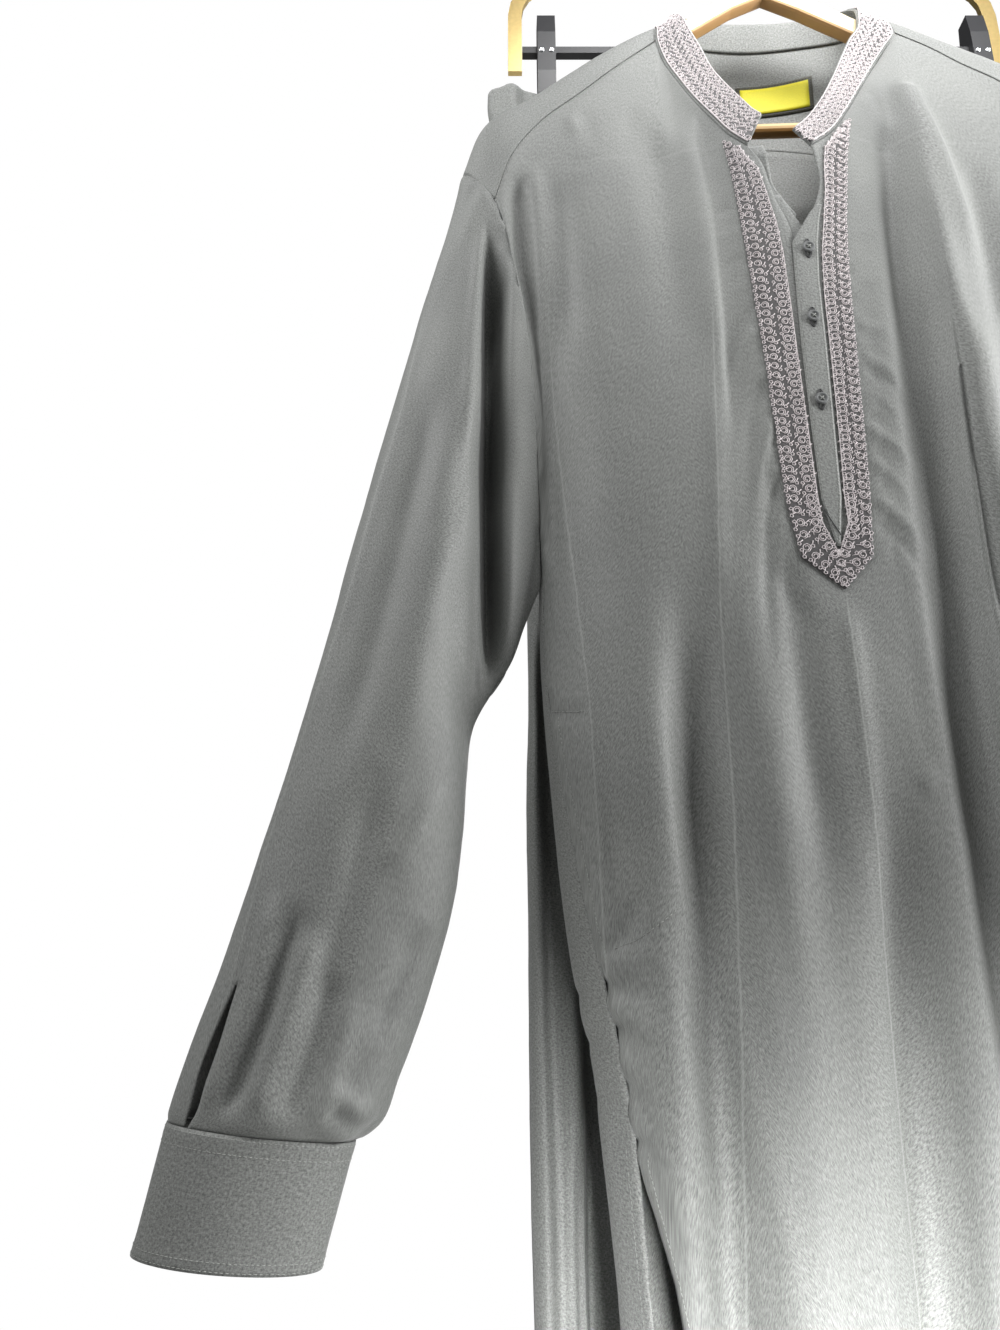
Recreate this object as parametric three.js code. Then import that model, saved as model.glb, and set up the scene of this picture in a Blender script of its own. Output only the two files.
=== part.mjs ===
// A shalwar kameez: a long shirt with a band collar on a wooden hanger, and its wide
// trousers behind it on a gold hanger with two clips.
// Millimetres, +Z up, the front faces -Y, +X is to the viewer's right.
// The origin is the inside top of the wooden hanger's hook, which hangs on the rail.
import * as THREE from 'three';

// ---- driving dimensions ----
const CLOTH = 1.6;            // thickness of a single cloth wall
const CUFF_CLOTH = 2.4;       // interfaced cuff and collar
const TRIM = 1.0;             // flat trim laid on a panel
const SEAM_GAP = 0.3;         // clearance between two sewn pieces
const LAY_GAP = 0.4;          // clearance under a piece that lies on a panel
const ARMPIT_Z = -585;        // underarm point
const POCKET_TOP_Z = -673;
const POCKET_END_Z = -811;
const SLIT_TOP_Z = -901;
const HEM_Z = -1241;          // kameez hem
const PLACKET_BASE_Z = -560;  // end of the front opening
const FRONT_Y = -45;          // front panel at the collar ends
const FRONT_LEAN = 0.0094;    // how far the front comes forward per millimetre down
const BACK_Y = 42;            // back panel on the centre line
const SHALWAR_X = 30;         // centre line of the shalwar
const SHALWAR_Y = 85;         // plane of the clip hanger
const CROTCH_Z = -530;
const RAIL_WIRE = 4;          // wire of the wooden hanger's hook
const BUTTON = { diameter: 8, thickness: 1.8 };

const COLOURS = {
  cloth: 0x7d817b, shade: 0x6f736e, thread: 0x9a8f93, wood: 0xe9cf9c,
  rod: 0xd79a4e, gold: 0xc9a24a, clip: 0x17181a, steel: 0xb9bcc0,
  label: 0xe6da2c, button: 0x6a6c6c,
};

// ---- small vector tools ----
const V = (p) => new THREE.Vector3(p[0], p[1], p[2]);
const lerp = (a, b, t) => a + (b - a) * t;
const mix = (p, q, t) => [lerp(p[0], q[0], t), lerp(p[1], q[1], t), lerp(p[2], q[2], t)];
const clamp01 = (t) => Math.min(1, Math.max(0, t));

// Reads a column of a table by height, straight between its rows, which run downwards.
function read(table, column, z) {
  if (z >= table[0].z) return table[0][column];
  for (let i = 1; i < table.length; i++) {
    const a = table[i - 1];
    const b = table[i];
    if (z >= b.z) return lerp(a[column], b[column], (a.z - z) / (a.z - b.z));
  }
  return table[table.length - 1][column];
}

// ---- cloth surfaces ----
// A surface is a grid of points on the cloth's outer face with a normal at each point.
// outward(point) says roughly which way is out, and wrap closes the grid into a tube.
function surface(points, outward, wrap = false) {
  const rows = points.length;
  const cols = points[0].length;
  const normals = points.map((row, i) => row.map((p, j) => {
    const up = V(points[Math.max(i - 1, 0)][j]);
    const down = V(points[Math.min(i + 1, rows - 1)][j]);
    const before = wrap ? (j + cols - 1) % cols : Math.max(j - 1, 0);
    const after = wrap ? (j + 1) % cols : Math.min(j + 1, cols - 1);
    const across = V(points[i][after]).sub(V(points[i][before]));
    return across.cross(down.sub(up)).normalize();
  }));
  let facing = 0;
  points.forEach((row, i) => row.forEach((p, j) => {
    facing += normals[i][j].dot(outward(p));
  }));
  const sign = facing < 0 ? -1 : 1;
  normals.forEach((row) => row.forEach((n) => n.multiplyScalar(sign)));
  return { points, normals, wrap, sign };
}

// Gives two surfaces the same normals along the seam where their points coincide.
function sew(a, cellsA, b, cellsB) {
  cellsA.forEach(([i, j], k) => {
    const [m, n] = cellsB[k];
    const shared = a.normals[i][j].clone().add(b.normals[m][n]).normalize();
    a.normals[i][j].copy(shared);
    b.normals[m][n].copy(shared);
  });
}

// Turns a surface into a closed wall. keep(i, j) says whether a cell is cloth, and
// pull(i, j, side) how far a rim stands back from the seam line.
function wall(s, thickness, { keep = () => true, pull = () => SEAM_GAP / 2 } = {}) {
  const rows = s.points.length;
  const cols = s.points[0].length;
  const cellCols = s.wrap ? cols : cols - 1;
  const kept = (i, j) => {
    const jj = s.wrap ? (j + cols) % cols : j;
    return i >= 0 && i < rows - 1 && jj >= 0 && jj < cellCols && keep(i, jj);
  };
  const outer = s.points.map((row) => row.map(V));
  for (let i = 0; i < rows; i++) {
    for (let j = 0; j < cols; j++) {
      const cells = [[i - 1, j - 1], [i - 1, j], [i, j - 1], [i, j]];
      const [a, b, c, d] = cells.map(([m, n]) => kept(m, n));
      const shift = new THREE.Vector3();
      const toward = (m, n, side) => {
        const mm = Math.min(Math.max(m, 0), rows - 1);
        const nn = s.wrap ? (n + cols) % cols : Math.min(Math.max(n, 0), cols - 1);
        const step = V(s.points[mm][nn]).sub(V(s.points[i][j]));
        if (step.length() > 1e-6) shift.addScaledVector(step.normalize(), pull(i, j, side));
      };
      if (!a && !b && (c || d)) toward(i + 1, j, 'top');
      if (!c && !d && (a || b)) toward(i - 1, j, 'bottom');
      if (!a && !c && (b || d)) toward(i, j + 1, 'left');
      if (!b && !d && (a || c)) toward(i, j - 1, 'right');
      outer[i][j].add(shift);
    }
  }
  const at = (i, j) => [i, s.wrap ? (j + cols) % cols : j];
  const out = (i, j) => { const [m, n] = at(i, j); return outer[m][n]; };
  const inn = (i, j) => {
    const [m, n] = at(i, j);
    return outer[m][n].clone().addScaledVector(s.normals[m][n], -thickness);
  };
  const triangles = [];
  const quad = (p, q, r, t) => {
    if (s.sign > 0) triangles.push(p, q, r, p, r, t);
    else triangles.push(p, r, q, p, t, r);
  };
  for (let i = 0; i < rows - 1; i++) {
    for (let j = 0; j < cellCols; j++) {
      if (!kept(i, j)) continue;
      quad(out(i, j), out(i, j + 1), out(i + 1, j + 1), out(i + 1, j));
      quad(inn(i, j), inn(i + 1, j), inn(i + 1, j + 1), inn(i, j + 1));
      if (!kept(i - 1, j)) quad(out(i, j), inn(i, j), inn(i, j + 1), out(i, j + 1));
      if (!kept(i + 1, j)) quad(out(i + 1, j + 1), inn(i + 1, j + 1), inn(i + 1, j), out(i + 1, j));
      if (!kept(i, j - 1)) quad(out(i + 1, j), inn(i + 1, j), inn(i, j), out(i, j));
      if (!kept(i, j + 1)) quad(out(i, j + 1), inn(i, j + 1), inn(i + 1, j + 1), out(i + 1, j + 1));
    }
  }
  const geometry = new THREE.BufferGeometry();
  const data = new Float32Array(triangles.length * 3);
  triangles.forEach((p, k) => p.toArray(data, 3 * k));
  geometry.setAttribute('position', new THREE.BufferAttribute(data, 3));
  geometry.computeVertexNormals();
  return geometry;
}

// The point and normal of a surface at (x, z), seen along Y, or null past its edge.
function seat(s, x, z, keep = () => true) {
  const rows = s.points.length;
  const cols = s.points[0].length;
  for (let i = 0; i < rows - 1; i++) {
    for (let j = 0; j < cols - 1; j++) {
      if (!keep(i, j)) continue;
      const corners = [[i, j], [i, j + 1], [i + 1, j + 1], [i + 1, j]];
      for (const [a, b, c] of [[0, 1, 2], [0, 2, 3]]) {
        const ids = [corners[a], corners[b], corners[c]];
        const [p, q, r] = ids.map(([m, n]) => s.points[m][n]);
        const area = (q[0] - p[0]) * (r[2] - p[2]) - (r[0] - p[0]) * (q[2] - p[2]);
        if (Math.abs(area) < 1e-9) continue;
        const v = ((x - p[0]) * (r[2] - p[2]) - (r[0] - p[0]) * (z - p[2])) / area;
        const w = ((q[0] - p[0]) * (z - p[2]) - (x - p[0]) * (q[2] - p[2])) / area;
        if (v < -1e-6 || w < -1e-6 || v + w > 1 + 1e-6) continue;
        const weights = [1 - v - w, v, w];
        const normal = new THREE.Vector3();
        ids.forEach(([m, n], k) => normal.addScaledVector(s.normals[m][n], weights[k]));
        return { y: p[1] * weights[0] + q[1] * weights[1] + r[1] * weights[2], normal: normal.normalize() };
      }
    }
  }
  return null;
}

const parts = new THREE.Group();
const shirt = new THREE.Group();
const trousers = new THREE.Group();
parts.add(shirt, trousers);

function addMesh(group, name, geometry, colour, roughness = 0.85, metalness = 0) {
  const material = new THREE.MeshStandardMaterial({ color: colour, roughness, metalness });
  const mesh = new THREE.Mesh(geometry, material);
  mesh.name = name;
  group.add(mesh);
  return mesh;
}

// ---- kameez: shoulder, neck and armhole lines ----
// Front shoulder seam from the left armhole to the neck, then the left neck edge.
const FRONT_TOP_LEFT = [
  [-201, -24, -306], [-189, -24, -267], [-167, -20, -232], [-140, -18, -206], [-114, -16, -180],
  [-81, -12, -149], [-78, -15, -169], [-69, -24, -202], [-60, -32, -229], [-50, -38, -251],
  [-42, -42, -267], [-30, -45, -281],
];
// Right neck edge from the collar end, then the front shoulder seam to the right armhole.
const FRONT_TOP_RIGHT = [
  [13, -45, -280], [30, -41, -264], [43, -36, -243], [60, -27, -211], [77, -18, -179],
  [88, -15, -160], [98, -12, -141], [122, -14, -158], [140, -17, -176], [165, -20, -197],
  [193, -23, -232], [209, -24, -272],
];
const RIDGE_LEFT = [
  [-224, -3, -266], [-206, 0, -218], [-176, 0, -196], [-149, 0, -174], [-122, 0, -153], [-80, 0, -128],
];
const RIDGE_RIGHT = [
  [93, 0, -121], [125, 0, -136], [150, 0, -149], [178, 0, -164], [208, 0, -186], [232, -3, -235],
];
const NECK_BACK = [
  [-62, 28, -108], [-33, 38, -103], [4, 42, -101], [42, 38, -101], [74, 28, -105],
];
// Top edge of the collar band, one entry for each point of the neck seam.
const COLLAR_TOP = [
  [-18, -43, -251], [-21.5, -39.5, -244], [-27, -36, -232], [-35, -31, -214], [-43, -24, -190],
  [-49, -17, -160], [-54, -13, -141], [-58, -10, -125], [-62, 1, -107],
  [-52, 24, -84], [-30, 34, -78], [5, 37, -76], [40, 34, -77], [66, 24, -81],
  [76, 1, -101], [73, -10, -120], [70, -12.5, -137], [62, -15, -151], [53, -19, -171],
  [40, -27, -202], [26, -34, -231], [13, -39, -252], [3, -43, -264],
];
// Share of the way from the top edge of the front to the underarm line, row by row.
const UPPER_ROWS = [0, 0.05, 0.10, 0.155, 0.205, 0.40, 0.64, 0.875, 1];
const UNDERARM_ROW = UPPER_ROWS.length - 1;
const UNDERARM_LEFT = [-172, -8, ARMPIT_Z];
const UNDERARM_RIGHT = [176, -8, ARMPIT_Z];
const ARMHOLE = { // curve of the armhole edge between its top and the underarm, share by share
  bow: 11, front: -9, back: 9,
};
const LOWER_Z = [-625, POCKET_TOP_Z, -720, -766, POCKET_END_Z, -856, SLIT_TOP_Z, -960, -1030, -1110, -1180, HEM_Z];

// Side seams below the underarm. seam: front edge; back: back panel's edge;
// edge: outermost line of the body, which the back panel wraps round to reach the seam.
const SIDE_LEFT = [
  { z: -585, seam: -172, back: -172, seamY: -8, edge: -173, edgeY: 1 },
  { z: -625, seam: -171, back: -171, seamY: -12, edge: -172.5, edgeY: 0 },
  { z: -673, seam: -168, back: -168, seamY: -17, edge: -170, edgeY: -1 },
  { z: -720, seam: -161, back: -161, seamY: -20, edge: -166, edgeY: -2 },
  { z: -766, seam: -153, back: -153, seamY: -21, edge: -162, edgeY: -2 },
  { z: -811, seam: -144, back: -144, seamY: -22, edge: -157, edgeY: -1 },
  { z: -856, seam: -134.5, back: -134.5, seamY: -22, edge: -149, edgeY: 0 },
  { z: -901, seam: -128, back: -128, seamY: -22, edge: -144, edgeY: 0 },
  { z: -960, seam: -112, back: -124, seamY: -23, edge: -138, edgeY: 0 },
  { z: -1030, seam: -103, back: -119, seamY: -24, edge: -133, edgeY: 0 },
  { z: -1110, seam: -98, back: -115, seamY: -24, edge: -129, edgeY: 1 },
  { z: -1180, seam: -95, back: -113, seamY: -24, edge: -126, edgeY: 2 },
  { z: -1241, seam: -93, back: -112, seamY: -24, edge: -124, edgeY: 3 },
];
const SIDE_RIGHT = [
  { z: -585, seam: 176, back: 176, seamY: -8, edge: 177, edgeY: 1 },
  { z: -625, seam: 177, back: 177, seamY: -10, edge: 179, edgeY: 0 },
  { z: -673, seam: 178, back: 178, seamY: -12, edge: 181, edgeY: -1 },
  { z: -720, seam: 179, back: 179, seamY: -13, edge: 183, edgeY: -1 },
  { z: -766, seam: 180, back: 180, seamY: -14, edge: 185, edgeY: 0 },
  { z: -811, seam: 180, back: 180, seamY: -15, edge: 186, edgeY: 0 },
  { z: -856, seam: 179, back: 179, seamY: -15, edge: 187, edgeY: 0 },
  { z: -901, seam: 178, back: 178, seamY: -15, edge: 188, edgeY: 0 },
  { z: -960, seam: 170, back: 179, seamY: -17, edge: 189, edgeY: 0 },
  { z: -1030, seam: 166, back: 180, seamY: -18, edge: 190, edgeY: 1 },
  { z: -1110, seam: 163, back: 181, seamY: -19, edge: 191, edgeY: 2 },
  { z: -1180, seam: 162, back: 181, seamY: -20, edge: 191, edgeY: 3 },
  { z: -1241, seam: 161, back: 181, seamY: -20, edge: 191, edgeY: 4 },
];

// Columns of the front panel below the underarm, as a share of the way across each half.
const FRONT_SHARE_LEFT = [1, 0.955, 0.88, 0.78, 0.66, 0.52, 0.43, 0.34, 0.25, 0.175, 0.11, 0.03];
const FRONT_SHARE_RIGHT = [0.03, 0.11, 0.175, 0.25, 0.32, 0.385, 0.45, 0.55, 0.68, 0.80, 0.92, 1];
// Soft vertical folds of the front: x of the trough at its top and bottom, depth and half width.
const FRONT_FOLDS = [
  { name: 'left armhole', top: -230, bottom: -560, xTop: -172, xBottom: -160, depth: 6, width: 16 },
  { name: 'left of centre', top: -560, bottom: HEM_Z, xTop: -80, xBottom: -88, depth: 9, width: 24 },
  { name: 'centre', top: -700, bottom: HEM_Z, xTop: 12, xBottom: 4, depth: 10, width: 22 },
  { name: 'beside the right fold', top: -185, bottom: -930, xTop: 68, xBottom: 62, depth: 13, width: 17 },
  { name: 'right side', top: -420, bottom: HEM_Z, xTop: 138, xBottom: 132, depth: 9, width: 24 },
];
// The big fold that comes forward right of the collar.
const RIGHT_FOLD = { top: -170, bottom: -980, xTop: 89, xBottom: 84, height: 15, width: 30 };

function foldShape(fold, x, z) {
  if (z > fold.top || z < fold.bottom - 1) return 0;
  const along = (fold.top - z) / (fold.top - fold.bottom);
  const centre = lerp(fold.xTop, fold.xBottom, along);
  const near = Math.min(1, along * 6);
  const off = Math.abs(x - centre) / fold.width;
  return off >= 1 ? 0 : near * (0.5 + 0.5 * Math.cos(Math.PI * off));
}

// Depth of the flat part of the front panel.
const frontPlane = (z) => FRONT_Y + FRONT_LEAN * (z + 281);

// Forward position of the front panel below the neck.
function frontY(x, z, side, halfWidth) {
  const edgeY = read(side, 'seamY', z);
  const share = clamp01(Math.abs(x) / halfWidth);
  let y = lerp(frontPlane(z), edgeY, Math.pow(share, 5));
  for (const fold of FRONT_FOLDS) y += fold.depth * foldShape(fold, x, z);
  const fades = clamp01((z - RIGHT_FOLD.bottom) / 250);
  y -= RIGHT_FOLD.height * fades * foldShape(RIGHT_FOLD, x, z);
  return y;
}

// Edges of the front opening by height: a teardrop under the collar, then a narrow slot.
const OPENING = [
  { z: -281, left: -30, right: 13 },
  { z: -297, left: -21, right: 15 },
  { z: -313, left: -18, right: 16 },
  { z: -330, left: -14, right: 11 },
  { z: -346, left: -8, right: 3.5 },
  { z: -409, left: -6, right: 2.5 },
  { z: -560, left: -5, right: 2.5 },
  { z: -625, left: -5, right: 5 },
];

// Armhole edge between its top point and the underarm. way is -1 in front and +1 behind.
function armholePoint(top, under, share, way) {
  const p = mix(top, under, share);
  const swell = Math.sin(Math.PI * Math.pow(share, 0.8));
  const inward = top[0] < under[0] ? 1 : -1;
  p[0] += inward * ARMHOLE.bow * swell * (way < 0 ? 1 : 0.7);
  p[1] += (way < 0 ? ARMHOLE.front : ARMHOLE.back) * swell;
  return p;
}

function frontPoint(half, j, i) {
  const isLeft = half === 'left';
  const side = isLeft ? SIDE_LEFT : SIDE_RIGHT;
  const shares = isLeft ? FRONT_SHARE_LEFT : FRONT_SHARE_RIGHT;
  const tops = isLeft ? FRONT_TOP_LEFT : FRONT_TOP_RIGHT;
  const top = tops[j];
  const outer = isLeft ? 0 : tops.length - 1;
  const inner = isLeft ? tops.length - 1 : 0;
  const under = isLeft ? UNDERARM_LEFT : UNDERARM_RIGHT;
  if (i <= UNDERARM_ROW) {
    const t = UPPER_ROWS[i];
    if (j === outer) return armholePoint(top, under, t, -1);
    const z = lerp(top[2], ARMPIT_Z, t);
    const halfWidth = Math.abs(under[0]);
    const xLow = Math.sign(under[0]) * shares[j] * halfWidth;
    const hold = Math.pow(1 - t, 1.6);
    let x = lerp(xLow, top[0], hold);
    if (j === inner) x = read(OPENING, half, z);
    const yTop = top[1];
    const yFree = frontY(x, z, side, lerp(halfWidth, 205, 1 - t));
    const settle = Math.pow(1 - t, 3);
    return [x, lerp(yFree, yTop, settle), z];
  }
  const z = LOWER_Z[i - UNDERARM_ROW - 1];
  const seamX = read(side, 'seam', z);
  const halfWidth = Math.abs(seamX);
  const x = j === inner && z > -900 ? read(OPENING, half, z) : Math.sign(seamX) * shares[j] * halfWidth;
  return [x, frontY(x, z, side, halfWidth), z];
}

const LEFT_COLS = FRONT_TOP_LEFT.length;
const ALL_ROWS = UPPER_ROWS.length + LOWER_Z.length;
const rowsOf = (count, make) => Array.from({ length: count }, (_, i) => make(i));
const frontGrid = rowsOf(ALL_ROWS, (i) => [
  ...FRONT_TOP_LEFT.map((_, j) => frontPoint('left', j, i)),
  ...FRONT_TOP_RIGHT.map((_, j) => frontPoint('right', j, i)),
]);
const FRONT_LAST = frontGrid[0].length - 1;
const toFront = () => new THREE.Vector3(0, -1, 0);
const toBack = () => new THREE.Vector3(0, 1, 0);

// ---- yoke: over both shoulders and down to a seam across the upper back ----
const YOKE_BACK_X = [-203, -190, -170, -145, -116, -84, -58, -30, 4, 40, 68, 95, 122, 146, 170, 196, 211];
const YOKE_DROP = { middle: -198, fall: 95, power: 1.6, tilt: 0.078, half: 207 };
function yokeSeam(x) {
  const away = Math.abs(x - 4) / YOKE_DROP.half;
  const z = YOKE_DROP.middle - YOKE_DROP.fall * Math.pow(away, YOKE_DROP.power) + YOKE_DROP.tilt * (x - 4);
  return [x, BACK_Y + 3 - 22 * away * away, z];
}
const RIDGE_DROP = { y: 8.5, z: 5 };
const nearRidge = (ridge, seam, way) => [
  lerp(ridge[0], seam[0], 0.12), way * RIDGE_DROP.y, ridge[2] - RIDGE_DROP.z,
];
const yokeColumns = YOKE_BACK_X.map((x, j) => {
  const back = yokeSeam(x);
  if (j > 5 && j < 11) {
    const neck = NECK_BACK[j - 6];
    const below = [neck[0], neck[1] + 1.5, neck[2] - 14];
    const middle = mix(below, back, 0.5);
    middle[1] += 1;
    return [neck, neck, neck, below, middle, back];
  }
  const ridge = j < 6 ? RIDGE_LEFT[j] : RIDGE_RIGHT[j - 11];
  const front = j < 6 ? FRONT_TOP_LEFT[j] : FRONT_TOP_RIGHT[j - 5];
  const behind = nearRidge(ridge, back, 1);
  const middle = mix(behind, back, 0.5);
  middle[1] += 6;
  return [front, nearRidge(ridge, front, -1), ridge, behind, middle, back];
});
const YOKE_ROWS = 6;
const yokeGrid = rowsOf(YOKE_ROWS, (i) => yokeColumns.map((column) => column[i]));
const yokeOut = (p) => new THREE.Vector3(0, p[1] < -6 ? -1 : 0.6, p[1] < 20 ? 1 : 0);
const yokeKeep = (i, j) => i >= 2 || j < 5 || j >= 11;

// ---- back panel ----
const BACK_SHARE = [1, 1.02, 0.95, 0.84, 0.69, 0.52, 0.34, 0.17, 0, -0.17, -0.34, -0.52, -0.69, -0.84, -0.95, -1.02, -1];
const BACK_FOLDS = [
  { top: -420, bottom: HEM_Z, xTop: -70, xBottom: -64, depth: 9, width: 34 },
  { top: -480, bottom: HEM_Z, xTop: 40, xBottom: 34, depth: 9, width: 34 },
  { top: -560, bottom: HEM_Z, xTop: 120, xBottom: 128, depth: 7, width: 30 },
];
const BACK_LAST = BACK_SHARE.length - 1;
// Column 0 of the back panel is the left seam, the last column the right seam.
function backPoint(j, i) {
  const share = -BACK_SHARE[j];
  const isLeft = share < 0 || (share === 0 && j < 8);
  const side = isLeft ? SIDE_LEFT : SIDE_RIGHT;
  if (i <= UNDERARM_ROW) {
    const t = UPPER_ROWS[i];
    const top = yokeGrid[YOKE_ROWS - 1][j];
    if (j === 0) return armholePoint(top, UNDERARM_LEFT, t, 1);
    if (j === BACK_LAST) return armholePoint(top, UNDERARM_RIGHT, t, 1);
    const low = backLowPoint(j, ARMPIT_Z, side);
    const x = lerp(low[0], top[0], Math.pow(1 - t, 1.4));
    const z = lerp(top[2], ARMPIT_Z, t);
    let y = lerp(low[1], top[1], Math.pow(1 - t, 1.5));
    y += 4 * Math.sin(Math.PI * t) * (1 - Math.abs(BACK_SHARE[j]));
    return [x, y, z];
  }
  return backLowPoint(j, LOWER_Z[i - UNDERARM_ROW - 1], side);
}

function backLowPoint(j, z, side) {
  const share = -BACK_SHARE[j];
  const isLeft = share < 0;
  if (j === 0 || j === BACK_LAST) return [read(side, 'back', z), read(side, 'seamY', z), z];
  if (j === 1 || j === BACK_LAST - 1) return [read(side, 'edge', z), read(side, 'edgeY', z), z];
  const half = Math.abs(read(isLeft ? SIDE_LEFT : SIDE_RIGHT, 'edge', z));
  const x = share * half;
  const round = Math.pow(1 - Math.pow(Math.abs(share), 4), 0.5);
  let y = lerp(6, BACK_Y, round) - 6 * clamp01((-z - 600) / 640);
  for (const fold of BACK_FOLDS) y -= fold.depth * foldShape(fold, x, z);
  return [x, y, z];
}

const backGrid = rowsOf(ALL_ROWS, (i) => BACK_SHARE.map((_, j) => backPoint(j, i)));

const front = surface(frontGrid, toFront);
const back = surface(backGrid, toBack);
const yoke = surface(yokeGrid, yokeOut);

const column = (rows, j, from = 0) => rowsOf(rows, (k) => [from + k, j]);
const across = (i, from, to) => rowsOf(to - from + 1, (k) => [i, from + k]);

// ---- sleeves ----
// The armhole loop: from the ridge down the front to the underarm and up the back.
function armholeLoop(frontCol, backCol, yokeCol) {
  const loop = [
    ['yoke', 2, yokeCol], ['yoke', 1, yokeCol],
    ...rowsOf(UNDERARM_ROW + 1, (i) => ['front', i, frontCol]),
    ...rowsOf(UNDERARM_ROW, (i) => ['back', UNDERARM_ROW - 1 - i, backCol]),
    ['yoke', 4, yokeCol], ['yoke', 3, yokeCol],
  ];
  return loop;
}
const PANELS = { yoke, front, back };
const FRONT_STEPS = UNDERARM_ROW + 2;       // steps from the ridge to the underarm in front
const BACK_STEPS = UNDERARM_ROW + 3;        // steps from the underarm back up to the ridge

// Sleeve sections from the armhole to the cuff: outer and inner edge, depth before and
// behind the middle plane, and a valley across the front at a share of the width.
const SLEEVE_LEFT = [
  { outX: -224, outZ: -266, inX: -172, inZ: -585, mid: -3, front: 22, back: 24, valley: 0.2, dip: 0 },
  { outX: -233, outZ: -310, inX: -181, inZ: -610, mid: -3, front: 26, back: 27, valley: 0.5, dip: 8 },
  { outX: -246, outZ: -366, inX: -190, inZ: -636, mid: -4, front: 32, back: 28, valley: 0.68, dip: 20 },
  { outX: -262, outZ: -440, inX: -202, inZ: -655, mid: -5, front: 36, back: 30, valley: 0.84, dip: 18 },
  { outX: -277, outZ: -507, inX: -212, inZ: -672, mid: -7, front: 37, back: 30, valley: 0.93, dip: 10 },
  { outX: -291, outZ: -572, inX: -216, inZ: -705, mid: -9, front: 37, back: 30, valley: 1, dip: 0 },
  { outX: -306, outZ: -645, inX: -218, inZ: -742, mid: -11, front: 36, back: 30, valley: 1, dip: 0 },
  { outX: -321, outZ: -712, inX: -222, inZ: -776, mid: -13, front: 34, back: 30, valley: 1, dip: 0 },
  { outX: -337, outZ: -775, inX: -229, inZ: -806, mid: -15, front: 33, back: 29, valley: 1, dip: 0 },
  { outX: -349, outZ: -818, inX: -238, inZ: -836, mid: -17, front: 32, back: 28, valley: 1, dip: 0 },
  { outX: -359, outZ: -852, inX: -249, inZ: -866, mid: -19, front: 31, back: 28, valley: 1, dip: 0 },
  { outX: -366, outZ: -880, inX: -259, inZ: -889, mid: -21, front: 30, back: 28, valley: 1, dip: 0 },
  { outX: -367, outZ: -886, inX: -270, inZ: -896, mid: -22, front: 27, back: 27, valley: 1, dip: 0 },
];
const SLEEVE_RIGHT = [
  { outX: 232, outZ: -235, inX: 176, inZ: -585, mid: -3, front: 22, back: 24, valley: 0.2, dip: 0 },
  { outX: 241, outZ: -290, inX: 184, inZ: -612, mid: -3, front: 26, back: 27, valley: 0.45, dip: 6 },
  { outX: 250, outZ: -350, inX: 192, inZ: -640, mid: -4, front: 31, back: 28, valley: 0.6, dip: 14 },
  { outX: 258, outZ: -425, inX: 198, inZ: -664, mid: -5, front: 34, back: 30, valley: 0.75, dip: 12 },
  { outX: 265, outZ: -495, inX: 202, inZ: -690, mid: -6, front: 35, back: 30, valley: 0.85, dip: 6 },
  { outX: 270, outZ: -560, inX: 204, inZ: -718, mid: -7, front: 35, back: 30, valley: 1, dip: 0 },
  { outX: 274, outZ: -625, inX: 205, inZ: -748, mid: -8, front: 34, back: 30, valley: 1, dip: 0 },
  { outX: 278, outZ: -690, inX: 205, inZ: -778, mid: -9, front: 33, back: 30, valley: 1, dip: 0 },
  { outX: 282, outZ: -748, inX: 205, inZ: -805, mid: -10, front: 32, back: 29, valley: 1, dip: 0 },
  { outX: 285, outZ: -792, inX: 204, inZ: -826, mid: -10, front: 31, back: 28, valley: 1, dip: 0 },
  { outX: 287, outZ: -828, inX: 203, inZ: -845, mid: -10, front: 30, back: 28, valley: 1, dip: 0 },
  { outX: 288, outZ: -854, inX: 202, inZ: -864, mid: -10, front: 29, back: 28, valley: 1, dip: 0 },
  { outX: 286, outZ: -861, inX: 206, inZ: -871, mid: -10, front: 27, back: 27, valley: 1, dip: 0 },
];
const CUFF_LEFT = [
  { outX: -367, outZ: -886, inX: -270, inZ: -896, mid: -22, front: 27, back: 27 },
  { outX: -372, outZ: -916, inX: -277, inZ: -924, mid: -24, front: 27, back: 27 },
  { outX: -377, outZ: -945, inX: -284, inZ: -952, mid: -26, front: 27, back: 27 },
];
const CUFF_RIGHT = [
  { outX: 286, outZ: -861, inX: 206, inZ: -871, mid: -10, front: 27, back: 27 },
  { outX: 287, outZ: -891, inX: 206, inZ: -900, mid: -10, front: 27, back: 27 },
  { outX: 288, outZ: -921, inX: 207, inZ: -929, mid: -10, front: 27, back: 27 },
];
const SLEEVE_SLIT = { row: 9, column: 2, half: 1.1 }; // from this section down, beside this column
const BLEND_OUT = [1, 0.62, 0.34, 0.14, 0.05];        // how much of the armhole's shape stays

function sectionPoint(section, k) {
  const around = k <= FRONT_STEPS ? (0.5 * k) / FRONT_STEPS : 0.5 + (0.5 * (k - FRONT_STEPS)) / BACK_STEPS;
  const share = (1 - Math.cos(2 * Math.PI * around)) / 2;
  const swing = Math.sin(2 * Math.PI * around);
  const x = lerp(section.outX, section.inX, share);
  const z = lerp(section.outZ, section.inZ, share);
  let y = section.mid - (swing > 0 ? section.front : section.back) * swing;
  const off = Math.abs(share - section.valley) / 0.2;
  if (swing > 0 && section.dip && off < 1) y += section.dip * (0.5 + 0.5 * Math.cos(Math.PI * off));
  return [x, y, z];
}

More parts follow.
